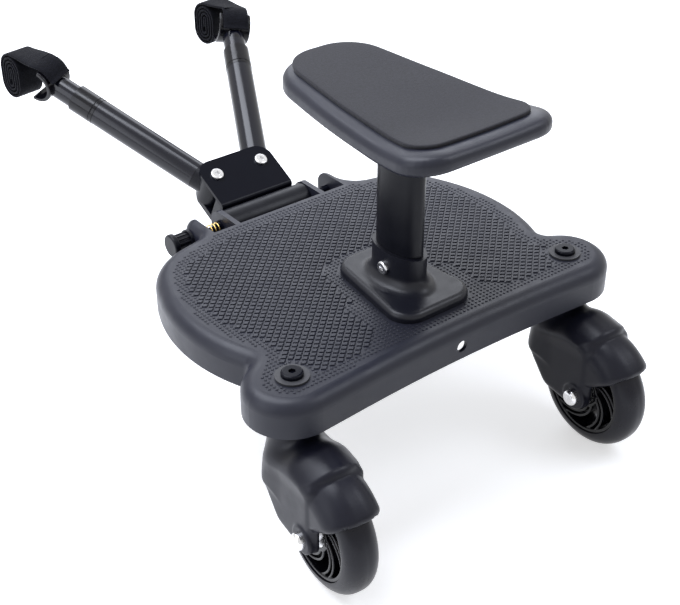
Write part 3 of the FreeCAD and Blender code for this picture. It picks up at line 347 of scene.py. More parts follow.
def tint(tree, shader, colour, source, low, high):
    """The base colour, darker and lighter from place to place."""
    made = add(tree, "ShaderNodeMix", data_type="RGBA")
    dark, light = [socket for socket in made.inputs if socket.type == "RGBA"]
    dark.default_value = (*[channel * low for channel in colour], 1.0)
    light.default_value = (*[channel * high for channel in colour], 1.0)
    tree.links.new(spread(tree, source, 0.0, 1.0), made.inputs["Factor"])
    result = [socket for socket in made.outputs if socket.type == "RGBA"][0]
    tree.links.new(result, shader.inputs["Base Color"])


def relief(tree, shader, source, strength, distance, below=None):
    """Bump from a source, on top of another bump if one is given."""
    made = add(tree, "ShaderNodeBump", Strength=strength, Distance=distance)
    tree.links.new(source, made.inputs["Height"])
    if below:
        tree.links.new(below.outputs["Normal"], made.inputs["Normal"])
    tree.links.new(made.outputs["Normal"], shader.inputs["Normal"])
    return made


def moulded_plastic(name, colour, roughness, grain, grain_strength, specular=0.3):
    """Injection-moulded plastic: a fine spark grain, slight unevenness of tone and gloss."""
    made, tree, shader = material(name, colour, roughness)
    shader.inputs["Specular IOR Level"].default_value = specular
    tint(tree, shader, colour, noise_at(tree, tone_features, fine_detail), 1 - tone_swing, 1 + tone_swing)
    gloss = spread(tree, noise_at(tree, gloss_features, fine_detail),
                   roughness - gloss_swing, roughness + gloss_swing)
    tree.links.new(gloss, shader.inputs["Roughness"])
    relief(tree, shader, noise_at(tree, grain, grain_detail, grain_roughness), grain_strength, grain_depth)
    return made


def painted_metal(name, colour, roughness, peel_strength, specular):
    """Powder coat: gloss with a slight orange peel."""
    made, tree, shader = material(name, colour, roughness)
    shader.inputs["Specular IOR Level"].default_value = specular
    tint(tree, shader, colour, noise_at(tree, coat_tone_features), 1 - coat_tone_swing, 1 + coat_tone_swing)
    gloss = spread(tree, noise_at(tree, coat_gloss_features, fine_detail),
                   roughness - coat_gloss_less, roughness + coat_gloss_more)
    tree.links.new(gloss, shader.inputs["Roughness"])
    relief(tree, shader, noise_at(tree, peel_features, peel_detail), peel_strength, peel_depth)
    return made


def bare_metal(name, colour, roughness):
    """Bright plated metal with fine rub marks."""
    made, tree, shader = material(name, colour, roughness, metallic=1.0)
    tint(tree, shader, colour, noise_at(tree, rub_tone_features, fine_detail), rub_tone_share, 1.0)
    gloss = spread(tree, noise_at(tree, rub_gloss_features, rub_gloss_detail),
                   roughness - rub_gloss_less, roughness + rub_gloss_more)
    tree.links.new(gloss, shader.inputs["Roughness"])
    relief(tree, shader, noise_at(tree, rub_features), rub_strength, rub_depth)
    return made


def woven_fabric(name, colour, roughness):
    """Fine cloth: two crossed sets of threads and a fuzz over them."""
    made, tree, shader = material(name, colour, roughness)
    shader.inputs["Sheen Weight"].default_value = cloth_sheen
    shader.inputs["Sheen Roughness"].default_value = cloth_sheen_roughness
    place = add(tree, "ShaderNodeTexCoord")
    waves = []
    for direction in ("X", "Y"):
        wave = add(tree, "ShaderNodeTexWave", bands_direction=direction, Scale=thread_features,
                   Distortion=thread_waver)
        wave.inputs["Detail Scale"].default_value = thread_waver_features
        tree.links.new(place.outputs["Object"], wave.inputs["Vector"])
        waves.append(wave.outputs["Fac"])
    weave = add(tree, "ShaderNodeMath", operation="MULTIPLY")
    tree.links.new(waves[0], weave.inputs[0])
    tree.links.new(waves[1], weave.inputs[1])
    speckle = noise_at(tree, speckle_features, speckle_detail, speckle_roughness)
    tint(tree, shader, colour, speckle, *speckle_shares)
    first = relief(tree, shader, weave.outputs["Value"], thread_strength, thread_depth)
    relief(tree, shader, speckle, fuzz_strength, fuzz_depth, first)
    return made


def looped_strap(name, colour, roughness):
    """Touch-strap webbing: rows of tiny loops on a dull black band."""
    made, tree, shader = material(name, colour, roughness)
    shader.inputs["Sheen Weight"].default_value = loop_sheen
    shader.inputs["Sheen Roughness"].default_value = loop_sheen_roughness
    shader.inputs["Specular IOR Level"].default_value = loop_specular
    place = add(tree, "ShaderNodeTexCoord")
    cells = add(tree, "ShaderNodeTexVoronoi", Scale=loop_features, Randomness=loop_randomness)
    tree.links.new(place.outputs["UV"], cells.inputs["Vector"])
    ribs = add(tree, "ShaderNodeTexWave", bands_direction="Y", Scale=band_features, Distortion=band_waver)
    tree.links.new(place.outputs["UV"], ribs.inputs["Vector"])
    tint(tree, shader, colour, cells.outputs["Distance"], *loop_shares)
    first = relief(tree, shader, ribs.outputs["Fac"], band_strength, band_depth)
    loops = relief(tree, shader, cells.outputs["Distance"], loop_strength, loop_depth, first)
    loops.invert = True
    return made


deck_plastic = moulded_plastic(
    "deck_plastic", colour=(0.0140, 0.0150, 0.0240), roughness=0.40, grain=2600.0, grain_strength=0.10)
caster_plastic = moulded_plastic(
    "caster_plastic", colour=(0.0062, 0.0065, 0.0125), roughness=0.36, grain=2600.0, grain_strength=0.05,
    specular=0.22)
foot_plastic = moulded_plastic(
    "foot_plastic", colour=(0.0060, 0.0065, 0.0115), roughness=0.36, grain=2600.0, grain_strength=0.06)
black_plastic = moulded_plastic(
    "black_plastic", colour=(0.0030, 0.0034, 0.0065), roughness=0.34, grain=2400.0, grain_strength=0.06,
    specular=0.2)
gloss_black = moulded_plastic(
    "gloss_black", colour=(0.004, 0.004, 0.006), roughness=0.16, grain=1200.0, grain_strength=0.03)
washer_plastic = moulded_plastic(
    "washer_plastic", colour=(0.046, 0.046, 0.050), roughness=0.5, grain=2400.0, grain_strength=0.08)
tyre_rubber = moulded_plastic(
    "tyre_rubber", colour=(0.0055, 0.0055, 0.0105), roughness=0.30, grain=1500.0, grain_strength=0.05,
    specular=0.24)
tube_paint = painted_metal(
    "tube_paint", colour=(0.0032, 0.0036, 0.0085), roughness=0.17, peel_strength=0.012, specular=0.38)
plate_paint = painted_metal(
    "plate_paint", colour=(0.0028, 0.0033, 0.0070), roughness=0.22, peel_strength=0.02, specular=0.10)
bright_steel = bare_metal("bright_steel", colour=(0.78, 0.78, 0.79), roughness=0.2)
gold_steel = bare_metal("gold_steel", colour=(0.83, 0.58, 0.20), roughness=0.24)
pad_fabric = woven_fabric("pad_fabric", colour=(0.0100, 0.0099, 0.0140), roughness=0.9)
strap_fabric = looped_strap("strap_fabric", colour=(0.0045, 0.0048, 0.0075), roughness=0.8)


def paint(finish, *names):
    """Give nodes of the solids a finish."""
    for name in names:
        for material_slot in nodes[name].material_slots:
            material_slot.material = finish


paint(deck_plastic, "deck")
paint(foot_plastic, "seat_foot")
paint(black_plastic, "swivel_bushes", "seat_post", "hinge_block", "release_knob")
paint(washer_plastic, "caster_washers")
# painted shade: the release pin and its clip are bright steel, but take this dark coat to stand for the shade in
# the gap between the hinge fin and the ear
paint(plate_paint, "caster_bolts", "bracket_plate", "hinge_pin", "release_pin", "pin_clip")
paint(bright_steel, "caster_nuts", "foot_screws", "post_bolts", "post_nuts", "pivot_screws", "pivot_nuts")
for side in sides:
    paint(gloss_black, side + "_lock_collar", side + "_saddle")
    paint(tyre_rubber, side + "_tyre")
    paint(tube_paint, side + "_outer_tube", side + "_inner_tube")
    paint(black_plastic, side + "_arm_root", side + "_slide_bush")
    paint(bright_steel, side + "_axle_bolt", side + "_axle_nut", side + "_wheel_bearings",
          side + "_wheel_spacers", side + "_root_rivet")

left_stem = Vector(joints["left_swivel"]["pos_m"])
right_stem = Vector(joints["right_swivel"]["pos_m"])
stem_y = left_stem.y


def new_piece(name, vertices, faces, finish, body, smooth=True):
    """A mesh object from points and faces, painted and riding on a body."""
    mesh = bpy.data.meshes.new(name)
    mesh.from_pydata([tuple(point) for point in vertices], [], faces)
    mesh.validate()
    mesh.materials.append(finish)
    for polygon in mesh.polygons:
        polygon.use_smooth = smooth
    piece = bpy.data.objects.new(name, mesh)
    bpy.context.scene.collection.objects.link(piece)
    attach(piece, body)
    return piece


def flat_rims(name, z):
    """The rims of a node's flat faces at one height, each as a list of (x, y), longest first."""
    mesh = nodes[name].data
    keys = [tuple(round(value, flat_digits) for value in vertex.co) for vertex in mesh.vertices]
    sides_of = {}
    for polygon in mesh.polygons:
        ring = [keys[index] for index in polygon.vertices]
        if all(abs(key[2] - z) < flat_tolerance for key in ring):
            for start, end in zip(ring, ring[1:] + ring[:1]):
                sides_of[(start, end)] = True
    following = {}
    for start, end in sides_of:
        if (end, start) not in sides_of:
            following[start] = end
    rims = []
    while following:
        first, spot = following.popitem()
        rim = [Vector(first[:2])]
        while spot in following:
            rim.append(Vector(spot[:2]))
            spot = following.pop(spot)
        rims.append(rim)

    def length(rim):
        return lengths_along(rim + rim[:1])[-1]

    return sorted(rims, key=length, reverse=True)


def lengths_along(points):
    """How far along a line each of its points lies."""
    reach = [0.0]
    for a, b in zip(points, points[1:]):
        reach.append(reach[-1] + (b - a).length)
    return reach


def ring_faces(first, rings, count):
    """Four-sided faces between closed rings of points that follow one another."""
    faces = []
    for start in range(first, first + (rings - 1) * count, count):
        for i in range(count):
            following = (i + 1) % count
            faces.append((start + i, start + following, start + count + following, start + count + i))
    return faces


def stud(vertices, faces, x, y, z, half_x, half_y, height, crown_share):
    """A diamond-shaped stud with bevelled top edges, its foot sunk in the deck."""
    first = len(vertices)
    corners = ((half_x, 0), (0, half_y), (-half_x, 0), (0, -half_y))
    levels = ((1.0, -stud_sink), (1.0, height - stud_shoulder), (crown_share, height))
    for share, level in levels:
        for dx, dy in corners:
            vertices.append((x + dx * share, y + dy * share, z + level))
    faces.extend(ring_faces(first, len(levels), len(corners)))
    faces.append(tuple(range(len(vertices) - len(corners), len(vertices))))


def rounded_rim(corners, count):
    """Points, evenly spaced, round a closed outline of (x, y, radius) corners, anticlockwise."""
    dense = []
    for i, (x, y, radius) in enumerate(corners):
        spot = Vector((x, y))
        before = (Vector(corners[i - 1][:2]) - spot).normalized()
        after = (Vector(corners[(i + 1) % len(corners)][:2]) - spot).normalized()
        half = before.angle(after) / 2
        centre = spot + (before + after).normalized() * (radius / math.sin(half))
        start = spot + before * (radius / math.tan(half)) - centre
        turn = math.pi - 2 * half
        for k in range(corner_steps + 1):
            dense.append(centre + Matrix.Rotation(turn * k / corner_steps, 2) @ start)
    loop = dense + dense[:1]
    reach = lengths_along(loop)
    spots = np.linspace(0, reach[-1], count, endpoint=False)
    xs = np.interp(spots, reach, [point.x for point in loop])
    ys = np.interp(spots, reach, [point.y for point in loop])
    return [Vector((x, y)) for x, y in zip(xs, ys)]


def outline_distance(rim, u, v):
    """Distance of places outside a closed outline, negative inside it."""
    near = np.full(u.shape, np.inf)
    inside = np.zeros(u.shape, bool)
    for a, b in zip(rim, rim[1:] + rim[:1]):
        along = b - a
        share = np.clip(((u - a.x) * along.x + (v - a.y) * along.y) / along.length_squared, 0, 1)
        near = np.minimum(near, np.hypot(a.x + share * along.x - u, a.y + share * along.y - v))
        if a.y != b.y:
            crossing = ((a.y > v) != (b.y > v)) & (u < a.x + (v - a.y) * along.x / along.y)
            inside ^= crossing
    return np.where(inside, -near, near)


def both(a, b, radius):
    """Where two fields overlap, with the edge between them rounded."""
    p, q = a + radius, b + radius
    return np.minimum(np.maximum(p, q), 0) + np.hypot(np.maximum(p, 0), np.maximum(q, 0)) - radius


def either(a, b, radius):
    """Two fields joined, with a blend in the corner between them."""
    share = np.clip(0.5 + 0.5 * (b - a) / radius, 0, 1)
    return b * (1 - share) + a * share - radius * share * (1 - share)


def surface(field, low, high, step):
    """Points and four-sided faces where a field of distances passes through zero."""
    counts = [int(math.ceil((b - a) / step)) + 1 for a, b in zip(low, high)]
    lines = [a + step * np.arange(n) for a, n in zip(low, counts)]
    value = field(*np.meshgrid(*lines, indexing="ij"))
    cells = np.array(counts) - 1
    offsets = list(itertools.product((0, 1), repeat=3))
    corner = {o: value[o[0]:cells[0] + o[0], o[1]:cells[1] + o[1], o[2]:cells[2] + o[2]] for o in offsets}
    within = sum((corner[o] < 0).astype(int) for o in offsets)
    active = (within > 0) & (within < len(offsets))
    number = np.full(active.shape, -1)
    number[active] = np.arange(active.sum())
    place = np.zeros((active.sum(), 3))
    hits = np.zeros((active.sum(), 1))
    for a, b in itertools.combinations(offsets, 2):
        if sum(abs(i - j) for i, j in zip(a, b)) == 1:
            start, end = corner[a][active], corner[b][active]
            crossed = (start < 0) != (end < 0)
            share = np.where(crossed, start / np.where(crossed, start - end, 1), 0)
            place += crossed[:, None] * (np.array(a) + share[:, None] * (np.array(b) - np.array(a)))
            hits += crossed[:, None]
    points = np.array(low) + step * (np.argwhere(active) + place / hits)
    faces = []
    for axis in range(3):
        u, v = (axis + 1) % 3, (axis + 2) % 3
        ahead = np.take(value, range(1, counts[axis]), axis) < 0
        behind = np.take(value, range(counts[axis] - 1), axis) < 0
        spots = np.argwhere(ahead != behind)
        inner = (spots[:, u] > 0) & (spots[:, v] > 0)
        spots = spots[inner & (spots[:, u] < cells[u]) & (spots[:, v] < cells[v])]
        outward = behind[tuple(spots.T)]
        ring = []
        for du, dv in ((-1, -1), (0, -1), (0, 0), (-1, 0)):
            shifted = spots.copy()
            shifted[:, u] += du
            shifted[:, v] += dv
            ring.append(number[tuple(shifted.T)])
        quads = np.stack(ring, 1)
        quads[~outward] = quads[~outward][:, ::-1]
        faces.extend(quads.tolist())
    return points, faces


def deck_tread():
    """Coarse diamond studs over the standing field, small dots between it, the rim and the seat's foot."""
    low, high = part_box("deck")
    top_z = high.z
    columns = int((high.x - low.x) / 2 / tread_pitch_x)
    rows = int((high.y - low.y) / tread_pitch_y)
    i, j = np.mgrid[-columns:columns + 1, :rows]
    x = i * tread_pitch_x
    y = low.y + j * tread_pitch_y
    inset = -outline_distance(flat_rims("deck", top_z)[0], x, y)
    from_foot = outline_distance(flat_rims("seat_foot", top_z)[0], x, y)
    from_stem = np.minimum.reduce([np.hypot(x - stem.x, y - stem.y) for stem in (left_stem, right_stem)])
    back = y - stem_y
    lane = rear_lane_half_width + np.maximum(rear_lane_flare_y - back, 0) * rear_lane_flare
    in_lane = (np.abs(x) < lane) & (back < rear_lane_end_y)
    treaded = (inset >= dot_edge_gap) & (y <= stem_y + tread_front_y)
    coarse = (inset > stud_edge_gap) & (from_foot > foot_stud_gap) & (from_stem > stem_stud_gap) & ~in_lane
    studded = treaded & coarse & ((i + j) % 2 == 0)
    dotted = treaded & ~coarse & (from_foot > foot_dot_gap) & (from_stem > stem_dot_gap)
    stud_form = (stud_half_x, stud_half_y, stud_height, stud_crown_share)
    dot_form = (dot_half_x, dot_half_y, dot_height, dot_crown_share)
    for name, chosen, form in (("deck_studs", studded, stud_form), ("deck_dots", dotted, dot_form)):
        vertices, faces = [], []
        for spot in zip(x[chosen], y[chosen]):
            stud(vertices, faces, *spot, top_z, *form)
        piece = new_piece(name, vertices, faces, deck_plastic, "board", smooth=False)


def seat_rim(rear, belly, front, count):
    """Points round a seat's plan, which narrows over a slight belly to a round front."""
    right = [rear, belly, front]
    left = [(-half_width, y, radius) for half_width, y, radius in reversed(right)]
    return rounded_rim(right + left, count)


def seat_height(x, y):
    """Height of the seat's top: low ahead of the rear edge, curled up behind, raised at both sides."""
    behind = np.clip((pan_dip_y - y) / (pan_dip_y - pan_rear[1]), 0, None)
    ahead = np.clip((y - pan_dip_y) / (pan_front[1] - pan_dip_y), 0, None)
    along = (pan_rear_top_z - pan_dip_top_z) * behind ** 2 + (pan_front_top_z - pan_dip_top_z) * ahead ** 2
    return pan_dip_top_z + along + pan_dish * (x / pan_rear[0]) ** 2


def seat_pan():
    """The moulded pan: a shell with a falling shoulder, ribs below and a boss round the post."""
    rim = seat_rim(pan_rear, pan_belly, pan_front, outline_points)
    slack = slack_cells * field_step

    def field(x, y, z):
        plan = outline_distance(rim, x[:, :, 0], y[:, :, 0])[:, :, None]
        level = seat_height(x, y)
        fall = pan_shoulder_drop * np.clip(1 + plan / pan_shoulder_width, 0, 1) ** 2
        over = z - (level - fall)
        under = seat_height(0, np.minimum(y, pan_dip_y)) - pan_rim_height - z
        outside = np.maximum(both(plan, over, pan_upper_radius), both(plan, under, pan_under_radius))
        room = np.maximum(plan + pan_wall, over + pan_wall)
        ribs = np.minimum.reduce([np.abs(x - sign * pan_rib_half_spacing) for sign in sides.values()])
        for k in range(pan_rib_rows):
            ribs = np.minimum(ribs, np.abs(y - pan_rib_first_y - k * pan_rib_pitch_y))
        ribs = np.maximum(ribs - pan_rib_thickness / 2, under + pan_rib_inset)
        straight = np.maximum(np.abs(y - post_y) - post_half_length + post_half_width, 0)
        oval = np.hypot(x, straight) - post_half_width
        boss = np.maximum(oval - boss_wall, under)
        room = np.maximum(room, -np.minimum(ribs, boss))
        shell = np.maximum(outside, -room)
        post = np.maximum(oval - post_room, over + pan_wall)
        return np.maximum(shell, -post)

    low = (-pan_rear[0] - slack, pan_rear[1] - slack, pan_dip_top_z - pan_rim_height - slack)
    high = (pan_rear[0] + slack, pan_front[1] + slack, pan_rear_top_z + pan_dish + slack)
    points, faces = surface(field, low, high, field_step)
    points[:, 1] += stem_y
    pan = new_piece("seat_pan_shell", points, faces, deck_plastic, "board")
    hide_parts("seat_pan")


def fork_field(axle_y, axle_z, top_z, stem_top_z, nut_z):
    """The caster's hood: arched crown with a lip over the rear cover, legs, neck, slot for the wheel."""
    rim = rounded_rim(fork_outline, outline_points)
    crown_rim = rounded_rim(crown_outline, outline_points)
    slope = math.radians(cover_slope)

    def field(x, y, z):
        plan = outline_distance(rim, y[0], z[0])[None]
        crown_plan = outline_distance(crown_rim, y[0], z[0])[None]
        legs = both(plan, np.abs(x) - fork_half_width, fork_edge_radius)
        crown = both(crown_plan, np.abs(x) - crown_half_width, crown_edge_radius)
        legs = either(legs, crown, crown_blend)
        neck_radius = fork_neck_radius + fork_neck_flare * (top_z - z) / (top_z - fork_neck_low_z)
        from_stem = np.hypot(x, y)
        neck = np.maximum(from_stem - neck_radius, np.maximum(fork_neck_low_z - z, z - top_z))
        hood = np.maximum(either(legs, neck, fork_blend), z - top_z)
        behind, over = axle_y - y, z - axle_z
        cover = both(np.hypot(behind, over) - cover_radius, np.abs(x) - cover_half_width, cover_edge_radius)
        edge = behind * math.sin(slope) - over * math.cos(slope) + cover_lift
        cover = np.maximum(both(cover, edge, cover_corner), -behind)
        hood = either(hood, cover, fork_crease)
        away = np.hypot(behind, over)
        boss = both(away - boss_radius, np.abs(x) - fork_half_width - boss_height, boss_edge)
        hood = either(hood, boss, fork_crease)
        open_below = np.maximum(np.abs(behind) - slot_radius, over)
        slot = both(np.minimum(away - slot_radius, open_below), np.abs(x) - slot_half_width, slot_edge_radius)
        stem = np.maximum(from_stem - stem_radius, np.maximum(fork_neck_low_z - z, z - stem_top_z))
        bore = np.minimum(from_stem - stem_bore_radius, np.maximum(from_stem - nut_room_radius, z - nut_z))
        hood = np.maximum(np.minimum(hood, stem), -np.minimum(slot, bore))
        return np.maximum(hood, axle_hole_radius - away)

    return field


def rim_field(x, y, z):
    """The rim about its axle: ring, hub with bearing seats, swept spokes with a groove along each."""
    away = np.hypot(y, z)
    wall = np.abs(away - rim_radius + rim_wall / 2) - rim_wall / 2
    ring = both(wall, np.abs(x) - rim_half_width, spoke_edge)
    hub = both(away - hub_radius, np.abs(x) - hub_half_width, spoke_edge)
    share = (away - hub_radius) / (rim_radius - hub_radius)
    sweep = math.radians(spoke_sweep)
    pitch = 2 * math.pi / spoke_count
    angle = np.mod(np.arctan2(z, y) - sweep * share + pitch / 2, pitch) - pitch / 2
    lean = np.arctan(away * sweep / (rim_radius - hub_radius))
    aside = np.abs(angle) * away * np.cos(lean)
    spoke = both(aside - spoke_thickness / 2, np.abs(x) - spoke_half_width, spoke_edge)
    groove = np.maximum(aside - spoke_groove / 2, spoke_half_width - spoke_groove_depth - np.abs(x))
    within = np.maximum(away - rim_radius + rim_wall / 2, hub_radius - away - rim_wall)
    spoke = np.maximum(np.maximum(spoke, -groove), within)
    body = np.minimum(np.minimum(ring, hub), spoke)
    seat = np.maximum(away - bearing_radius - bearing_room, hub_half_width - bearing_width - np.abs(x))
    return np.maximum(np.maximum(body, -seat), axle_radius + bearing_room - away)


def pull_spring():
    """The spring on the pin, a gold copy of the solids' spring on the board; the real spring shortens between its
    clip and the ear as the knob is pulled, this copy keeps the solids' shape.
    """
    mesh = nodes["pin_spring"].data
    points = [vertex.co for vertex in mesh.vertices]
    spring = new_piece("pull_spring", points, [tuple(polygon.vertices) for polygon in mesh.polygons],
                       gold_steel, "board")
    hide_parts("pin_spring")
    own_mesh(spring)


def caster_forks():
    """Hoods and rims, built upright about the stem and turned as each caster stands."""
    slack = slack_cells * field_step
    for side in sides:
        stem = Vector(joints[side + "_swivel"]["pos_m"])
        axle = Vector(joints[side + "_wheel_spin"]["pos_m"])
        stem_top_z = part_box(side + "_fork")[1].z
        top_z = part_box("swivel_bushes")[0].z - fork_top_gap
        nut_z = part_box("caster_nuts")[1].z + nut_room
        trail = (axle - stem).xy
        turn = np.array(((-trail.y, trail.x), (-trail.x, -trail.y))) / trail.length
        axle_y = -trail.length
        aside = fork_half_width + boss_height + slack
        low = (-aside, axle_y - cover_radius - slack, axle.z - cover_radius * fork_low_share)
        high = (aside, fork_neck_radius + neck_slack_cells * field_step, stem_top_z + slack)
        points, faces = surface(fork_field(axle_y, axle.z, top_z, stem_top_z, nut_z), low, high, field_step)
        points[:, :2] = points[:, :2] @ turn + np.array(stem.xy)
        fork = new_piece(side + "_fork_hood", points, faces, caster_plastic, side + "_caster")
        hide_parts(side + "_fork")
        reach = rim_radius + slack
        points, faces = surface(rim_field, (-rim_half_width - slack, -reach, -reach),
                                (rim_half_width + slack, reach, reach), rim_step)
        points[:, 1:] += (axle_y, axle.z)
        points[:, :2] = points[:, :2] @ turn + np.array(stem.xy)
        rim = new_piece(side + "_rim_sweep", points, faces, gloss_black, side + "_wheel")
        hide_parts(side + "_rim")


def seat_pad():
    """The thin foam pad: rounded edge, low crown, slight unevenness of the glued fabric."""
    rim = seat_rim(pad_rear, pad_belly, pad_front, pad_points)
    middle = sum(rim, Vector((0, 0))) / len(rim)
    # the edge's section, as (inset from the rim, height over the pan)
    edge = [(pad_foot_inset, pad_lift)]
    edge += [(inset, pad_edge_height * share) for inset, share in zip(pad_edge_insets, pad_edge_shares)]
    vertices = []
    reach = min((point - middle).length for point in rim)
    rings = list(edge)
    for k in range(1, pad_rings):
        inset = edge[-1][0] + (reach - edge[-1][0]) * k / pad_rings
        swell = 1 - math.exp(-inset / pad_crown_reach)
        rings.append((inset, pad_edge_height + (pad_crown_height - pad_edge_height) * swell))
    for inset, height in rings:
        for point in rim:
            spot = middle + (point - middle) * (1 - inset / reach)
            ripple = noise.noise(Vector((spot.x, spot.y, 0)) / pad_ripple_length) * pad_ripple
            if height <= pad_lift:
                ripple = 0.0
            vertices.append((spot.x, spot.y + stem_y, seat_height(spot.x, spot.y) + height + ripple))
    count = len(rim)
    faces = ring_faces(0, len(rings), count)
    vertices.append((middle.x, middle.y + stem_y, seat_height(middle.x, middle.y) + pad_crown_height))
    last = (len(rings) - 1) * count
    for i in range(count):
        faces.append((last + i, last + (i + 1) % count, len(vertices) - 1))
    vertices.append((middle.x, middle.y + stem_y, seat_height(middle.x, middle.y) + pad_lift))
    for i in range(count):
        faces.append(((i + 1) % count, i, len(vertices) - 1))
    pad = new_piece("seat_pad_cover", vertices, faces, pad_fabric, "board")
    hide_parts("seat_pad")


def strap_line(sign, centre):
    """Places, width directions and up directions along a strap: tube end, over the saddle, lead, roll."""
    tilt = Matrix.Rotation(math.radians(arm_tilt), 3, "X")
    arm = tilt @ Matrix.Rotation(math.radians(-sign * arm_spread), 3, "Z")
    roll = Matrix.Rotation(math.radians(strap_yaw), 3, "Z")
    across_arm, across_roll = arm @ Vector((1, 0, 0)), roll @ Vector((1, 0, 0))
    along_arm, off_arm = arm @ Vector((0, 1, 0)), arm @ Vector((0, 0, 1))
    ahead, above = roll @ Vector((0, 1, 0)), Vector((0, 0, 1))
    stations = []
    # over the saddle, in the arm's own plane: from the tube's top up to where the strap lies level
    start = Vector((-strap_root_reach, strap_root_height))
    touch = math.radians(strap_touch_angle)
    level = math.radians(quarter_turn - arm_tilt)
    steps = strap_bend_steps
    meet = Vector((math.cos(touch), math.sin(touch))) * strap_wrap_radius
    bend = meet - Vector((math.sin(touch), -math.cos(touch))) * (meet - start).length * strap_bend_share
    for k in range(steps):
        share = k / steps
        spot = start * (1 - share) ** 2 + bend * 2 * share * (1 - share) + meet * share ** 2
        stations.append(centre + along_arm * spot.x + off_arm * spot.y)
    for k in range(steps + 1):
        angle = touch + (level - touch) * k / steps
        spot = Vector((math.cos(angle), math.sin(angle))) * strap_wrap_radius
        stations.append(centre + along_arm * spot.x + off_arm * spot.y)
    root_count = len(stations)
    # the lead and the roll, in an upright plane ahead of the saddle
    heading = 0.0
    spot = Vector((0.0, strap_wrap_radius))
    walk = [("turn", strap_lead_radius, strap_lead_fall), ("run", strap_lead_length),
            ("turn", strap_outer_radius, quarter_turn - strap_lead_fall), ("run", strap_run)]
    radius = strap_outer_radius
    for k in range(strap_half_turns):
        radius -= strap_pitch / 2
        walk.append(("turn", radius, 2 * quarter_turn))
        walk.append(("run", strap_run if k < strap_half_turns - 1 else strap_tail))
    plane = [spot.copy()]
    for step in walk:
        if step[0] == "run":
            pieces = max(2, int(step[1] / strap_step / 2))
            for k in range(pieces):
                spot = spot + Vector((math.cos(heading), math.sin(heading))) * (step[1] / pieces)
                plane.append(spot.copy())
        else:
            turn = math.radians(step[2])
            pieces = max(2, int(step[1] * turn / strap_step))
            for k in range(pieces):
                heading -= turn / pieces / 2
                chord = 2 * step[1] * math.sin(turn / pieces / 2)
                spot = spot + Vector((math.cos(heading), math.sin(heading))) * chord
                heading -= turn / pieces / 2
                plane.append(spot.copy())
    # where the arm's plane and the upright plane meet, the lead starts
    join = stations[-1] - (ahead * plane[0].x + above * plane[0].y)
    for point in plane[1:]:
        stations.append(join + ahead * point.x + above * point.y)
    reach = lengths_along(stations)
    begin, end = reach[root_count - 1], reach[root_count - 1] + strap_lead_length
    widths, ups = [], []
    for k, spot in enumerate(stations):
        share = min(1.0, max(0.0, (reach[k] - begin) / (end - begin)))
        share = share * share * (3 - 2 * share)
        along = (stations[min(k + 1, len(stations) - 1)] - stations[max(k - 1, 0)]).normalized()
        across = across_arm.lerp(across_roll, share)
        across = (across - along * across.dot(along)).normalized()
        widths.append(across)
        ups.append(across.cross(along).normalized())
    return stations, widths, ups, reach


def strap(side, sign):
    """A touch strap as one band with rounded edges, swept along its line."""
    centre = Vector(mounts[side + "_saddle"]["pos_m"])
    stations, widths, ups, reach = strap_line(sign, centre)
    half, thick = strap_width / 2, strap_thickness / 2
    edge_share, height_share = strap_edge_shares
    edge = [(-half, 0.0), (-half + strap_edge * edge_share, thick * height_share),
            (-half + strap_edge, thick)]
    section = edge + [(half * share, thick) for share in strap_face_shares]
    section += [(-x, z) for x, z in reversed(edge)]
    section += [(x, -z) for x, z in reversed(section[1:-1])]
    vertices = []
    count = len(section)
    for spot, across, up in zip(stations, widths, ups):
        for x, z in section:
            vertices.append(spot + across * x + up * z)
    faces = ring_faces(0, len(stations), count)
    faces.append(tuple(reversed(range(count))))
    faces.append(tuple(range(len(vertices) - count, len(vertices))))
    piece = new_piece(side + "_strap_band", vertices, faces, strap_fabric, side + "_slider")
    layer = piece.data.uv_layers.new(name="band")
    for loop in piece.data.loops:
        station, i = divmod(loop.vertex_index, count)
        layer.data[loop.index].uv = (section[i][0], reach[station])
    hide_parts(side + "_strap")


deck_tread()
seat_pan()
seat_pad()
caster_forks()
pull_spring()
for side, sign in sides.items():
    strap(side, sign)


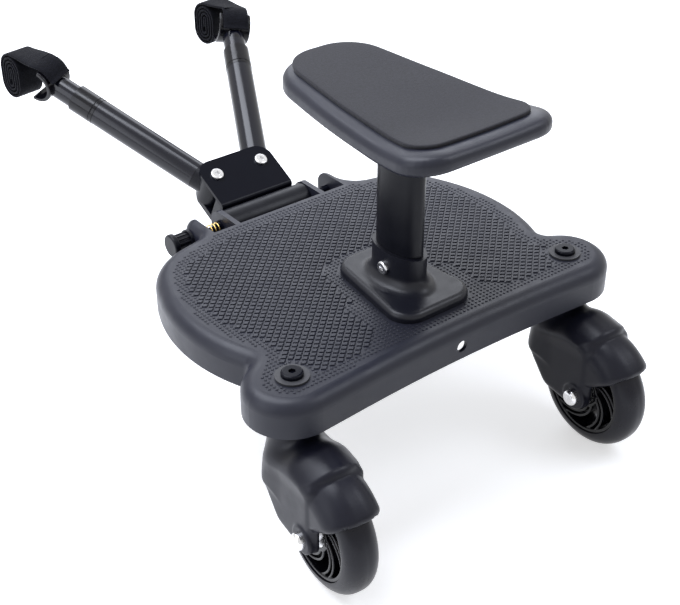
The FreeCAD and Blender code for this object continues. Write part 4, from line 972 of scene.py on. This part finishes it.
def seen_directly(tree):
    """One for rays from the camera, from mirroring surfaces and through clear ones, else zero."""
    light_path = add(tree, "ShaderNodeLightPath")
    total = light_path.outputs["Is Camera Ray"]
    for name in ("Is Glossy Ray", "Is Transmission Ray"):
        larger = add(tree, "ShaderNodeMath", operation="MAXIMUM")
        tree.links.new(total, larger.inputs[0])
        tree.links.new(light_path.outputs[name], larger.inputs[1])
        total = larger.outputs["Value"]
    return total


def stage():
    """A pale floor that runs out to a white surround, soft lamps, and the camera."""
    mesh = bpy.data.meshes.new("floor")
    size = floor_half_size
    corners = [(-size, -size, 0), (size, -size, 0), (size, size, 0), (-size, size, 0)]
    mesh.from_pydata(corners, [], [(0, 1, 2, 3)])
    floor = bpy.data.objects.new("floor", mesh)
    bpy.context.scene.collection.objects.link(floor)
    pale, tree, shader = material("floor_pale", floor_colour, floor_roughness)
    shader.inputs["Specular IOR Level"].default_value = floor_specular
    shader.inputs["Emission Color"].default_value = white
    glow = spread(tree, seen_directly(tree), 0.0, floor_glow, 0.0, 1.0)
    tree.links.new(glow, shader.inputs["Emission Strength"])
    mesh.materials.append(pale)

    world = bpy.data.worlds.new("studio")
    bpy.context.scene.world = world
    world.use_nodes = True
    tree = world.node_tree
    back = tree.nodes["Background"]
    back.inputs["Color"].default_value = white
    tree.links.new(spread(tree, seen_directly(tree), surround_light, 1.0, 0.0, 1.0), back.inputs["Strength"])

    for name, place, aim, size, power in lamps:
        data = bpy.data.lights.new(name, "AREA")
        data.shape = "RECTANGLE"
        data.size, data.size_y = size
        data.energy = power
        data.color = lamp_colour
        made = bpy.data.objects.new(name, data)
        made.location = place
        made.rotation_euler = (Vector(aim) - Vector(place)).to_track_quat("-Z", "Y").to_euler()
        bpy.context.scene.collection.objects.link(made)

    data = bpy.data.cameras.new("camera")
    data.sensor_fit = "HORIZONTAL"
    data.lens = lens_pixels / picture_width * data.sensor_width
    data.clip_start = camera_clip_start
    camera = bpy.data.objects.new("camera", data)
    camera.location = Vector((0, stem_y, 0)) + Vector(camera_offset)
    camera.rotation_euler = (math.radians(quarter_turn - camera_elevation), 0, math.radians(camera_azimuth))
    bpy.context.scene.collection.objects.link(camera)
    bpy.context.scene.camera = camera
    bpy.context.scene.view_settings.view_transform = "Standard"


stage()
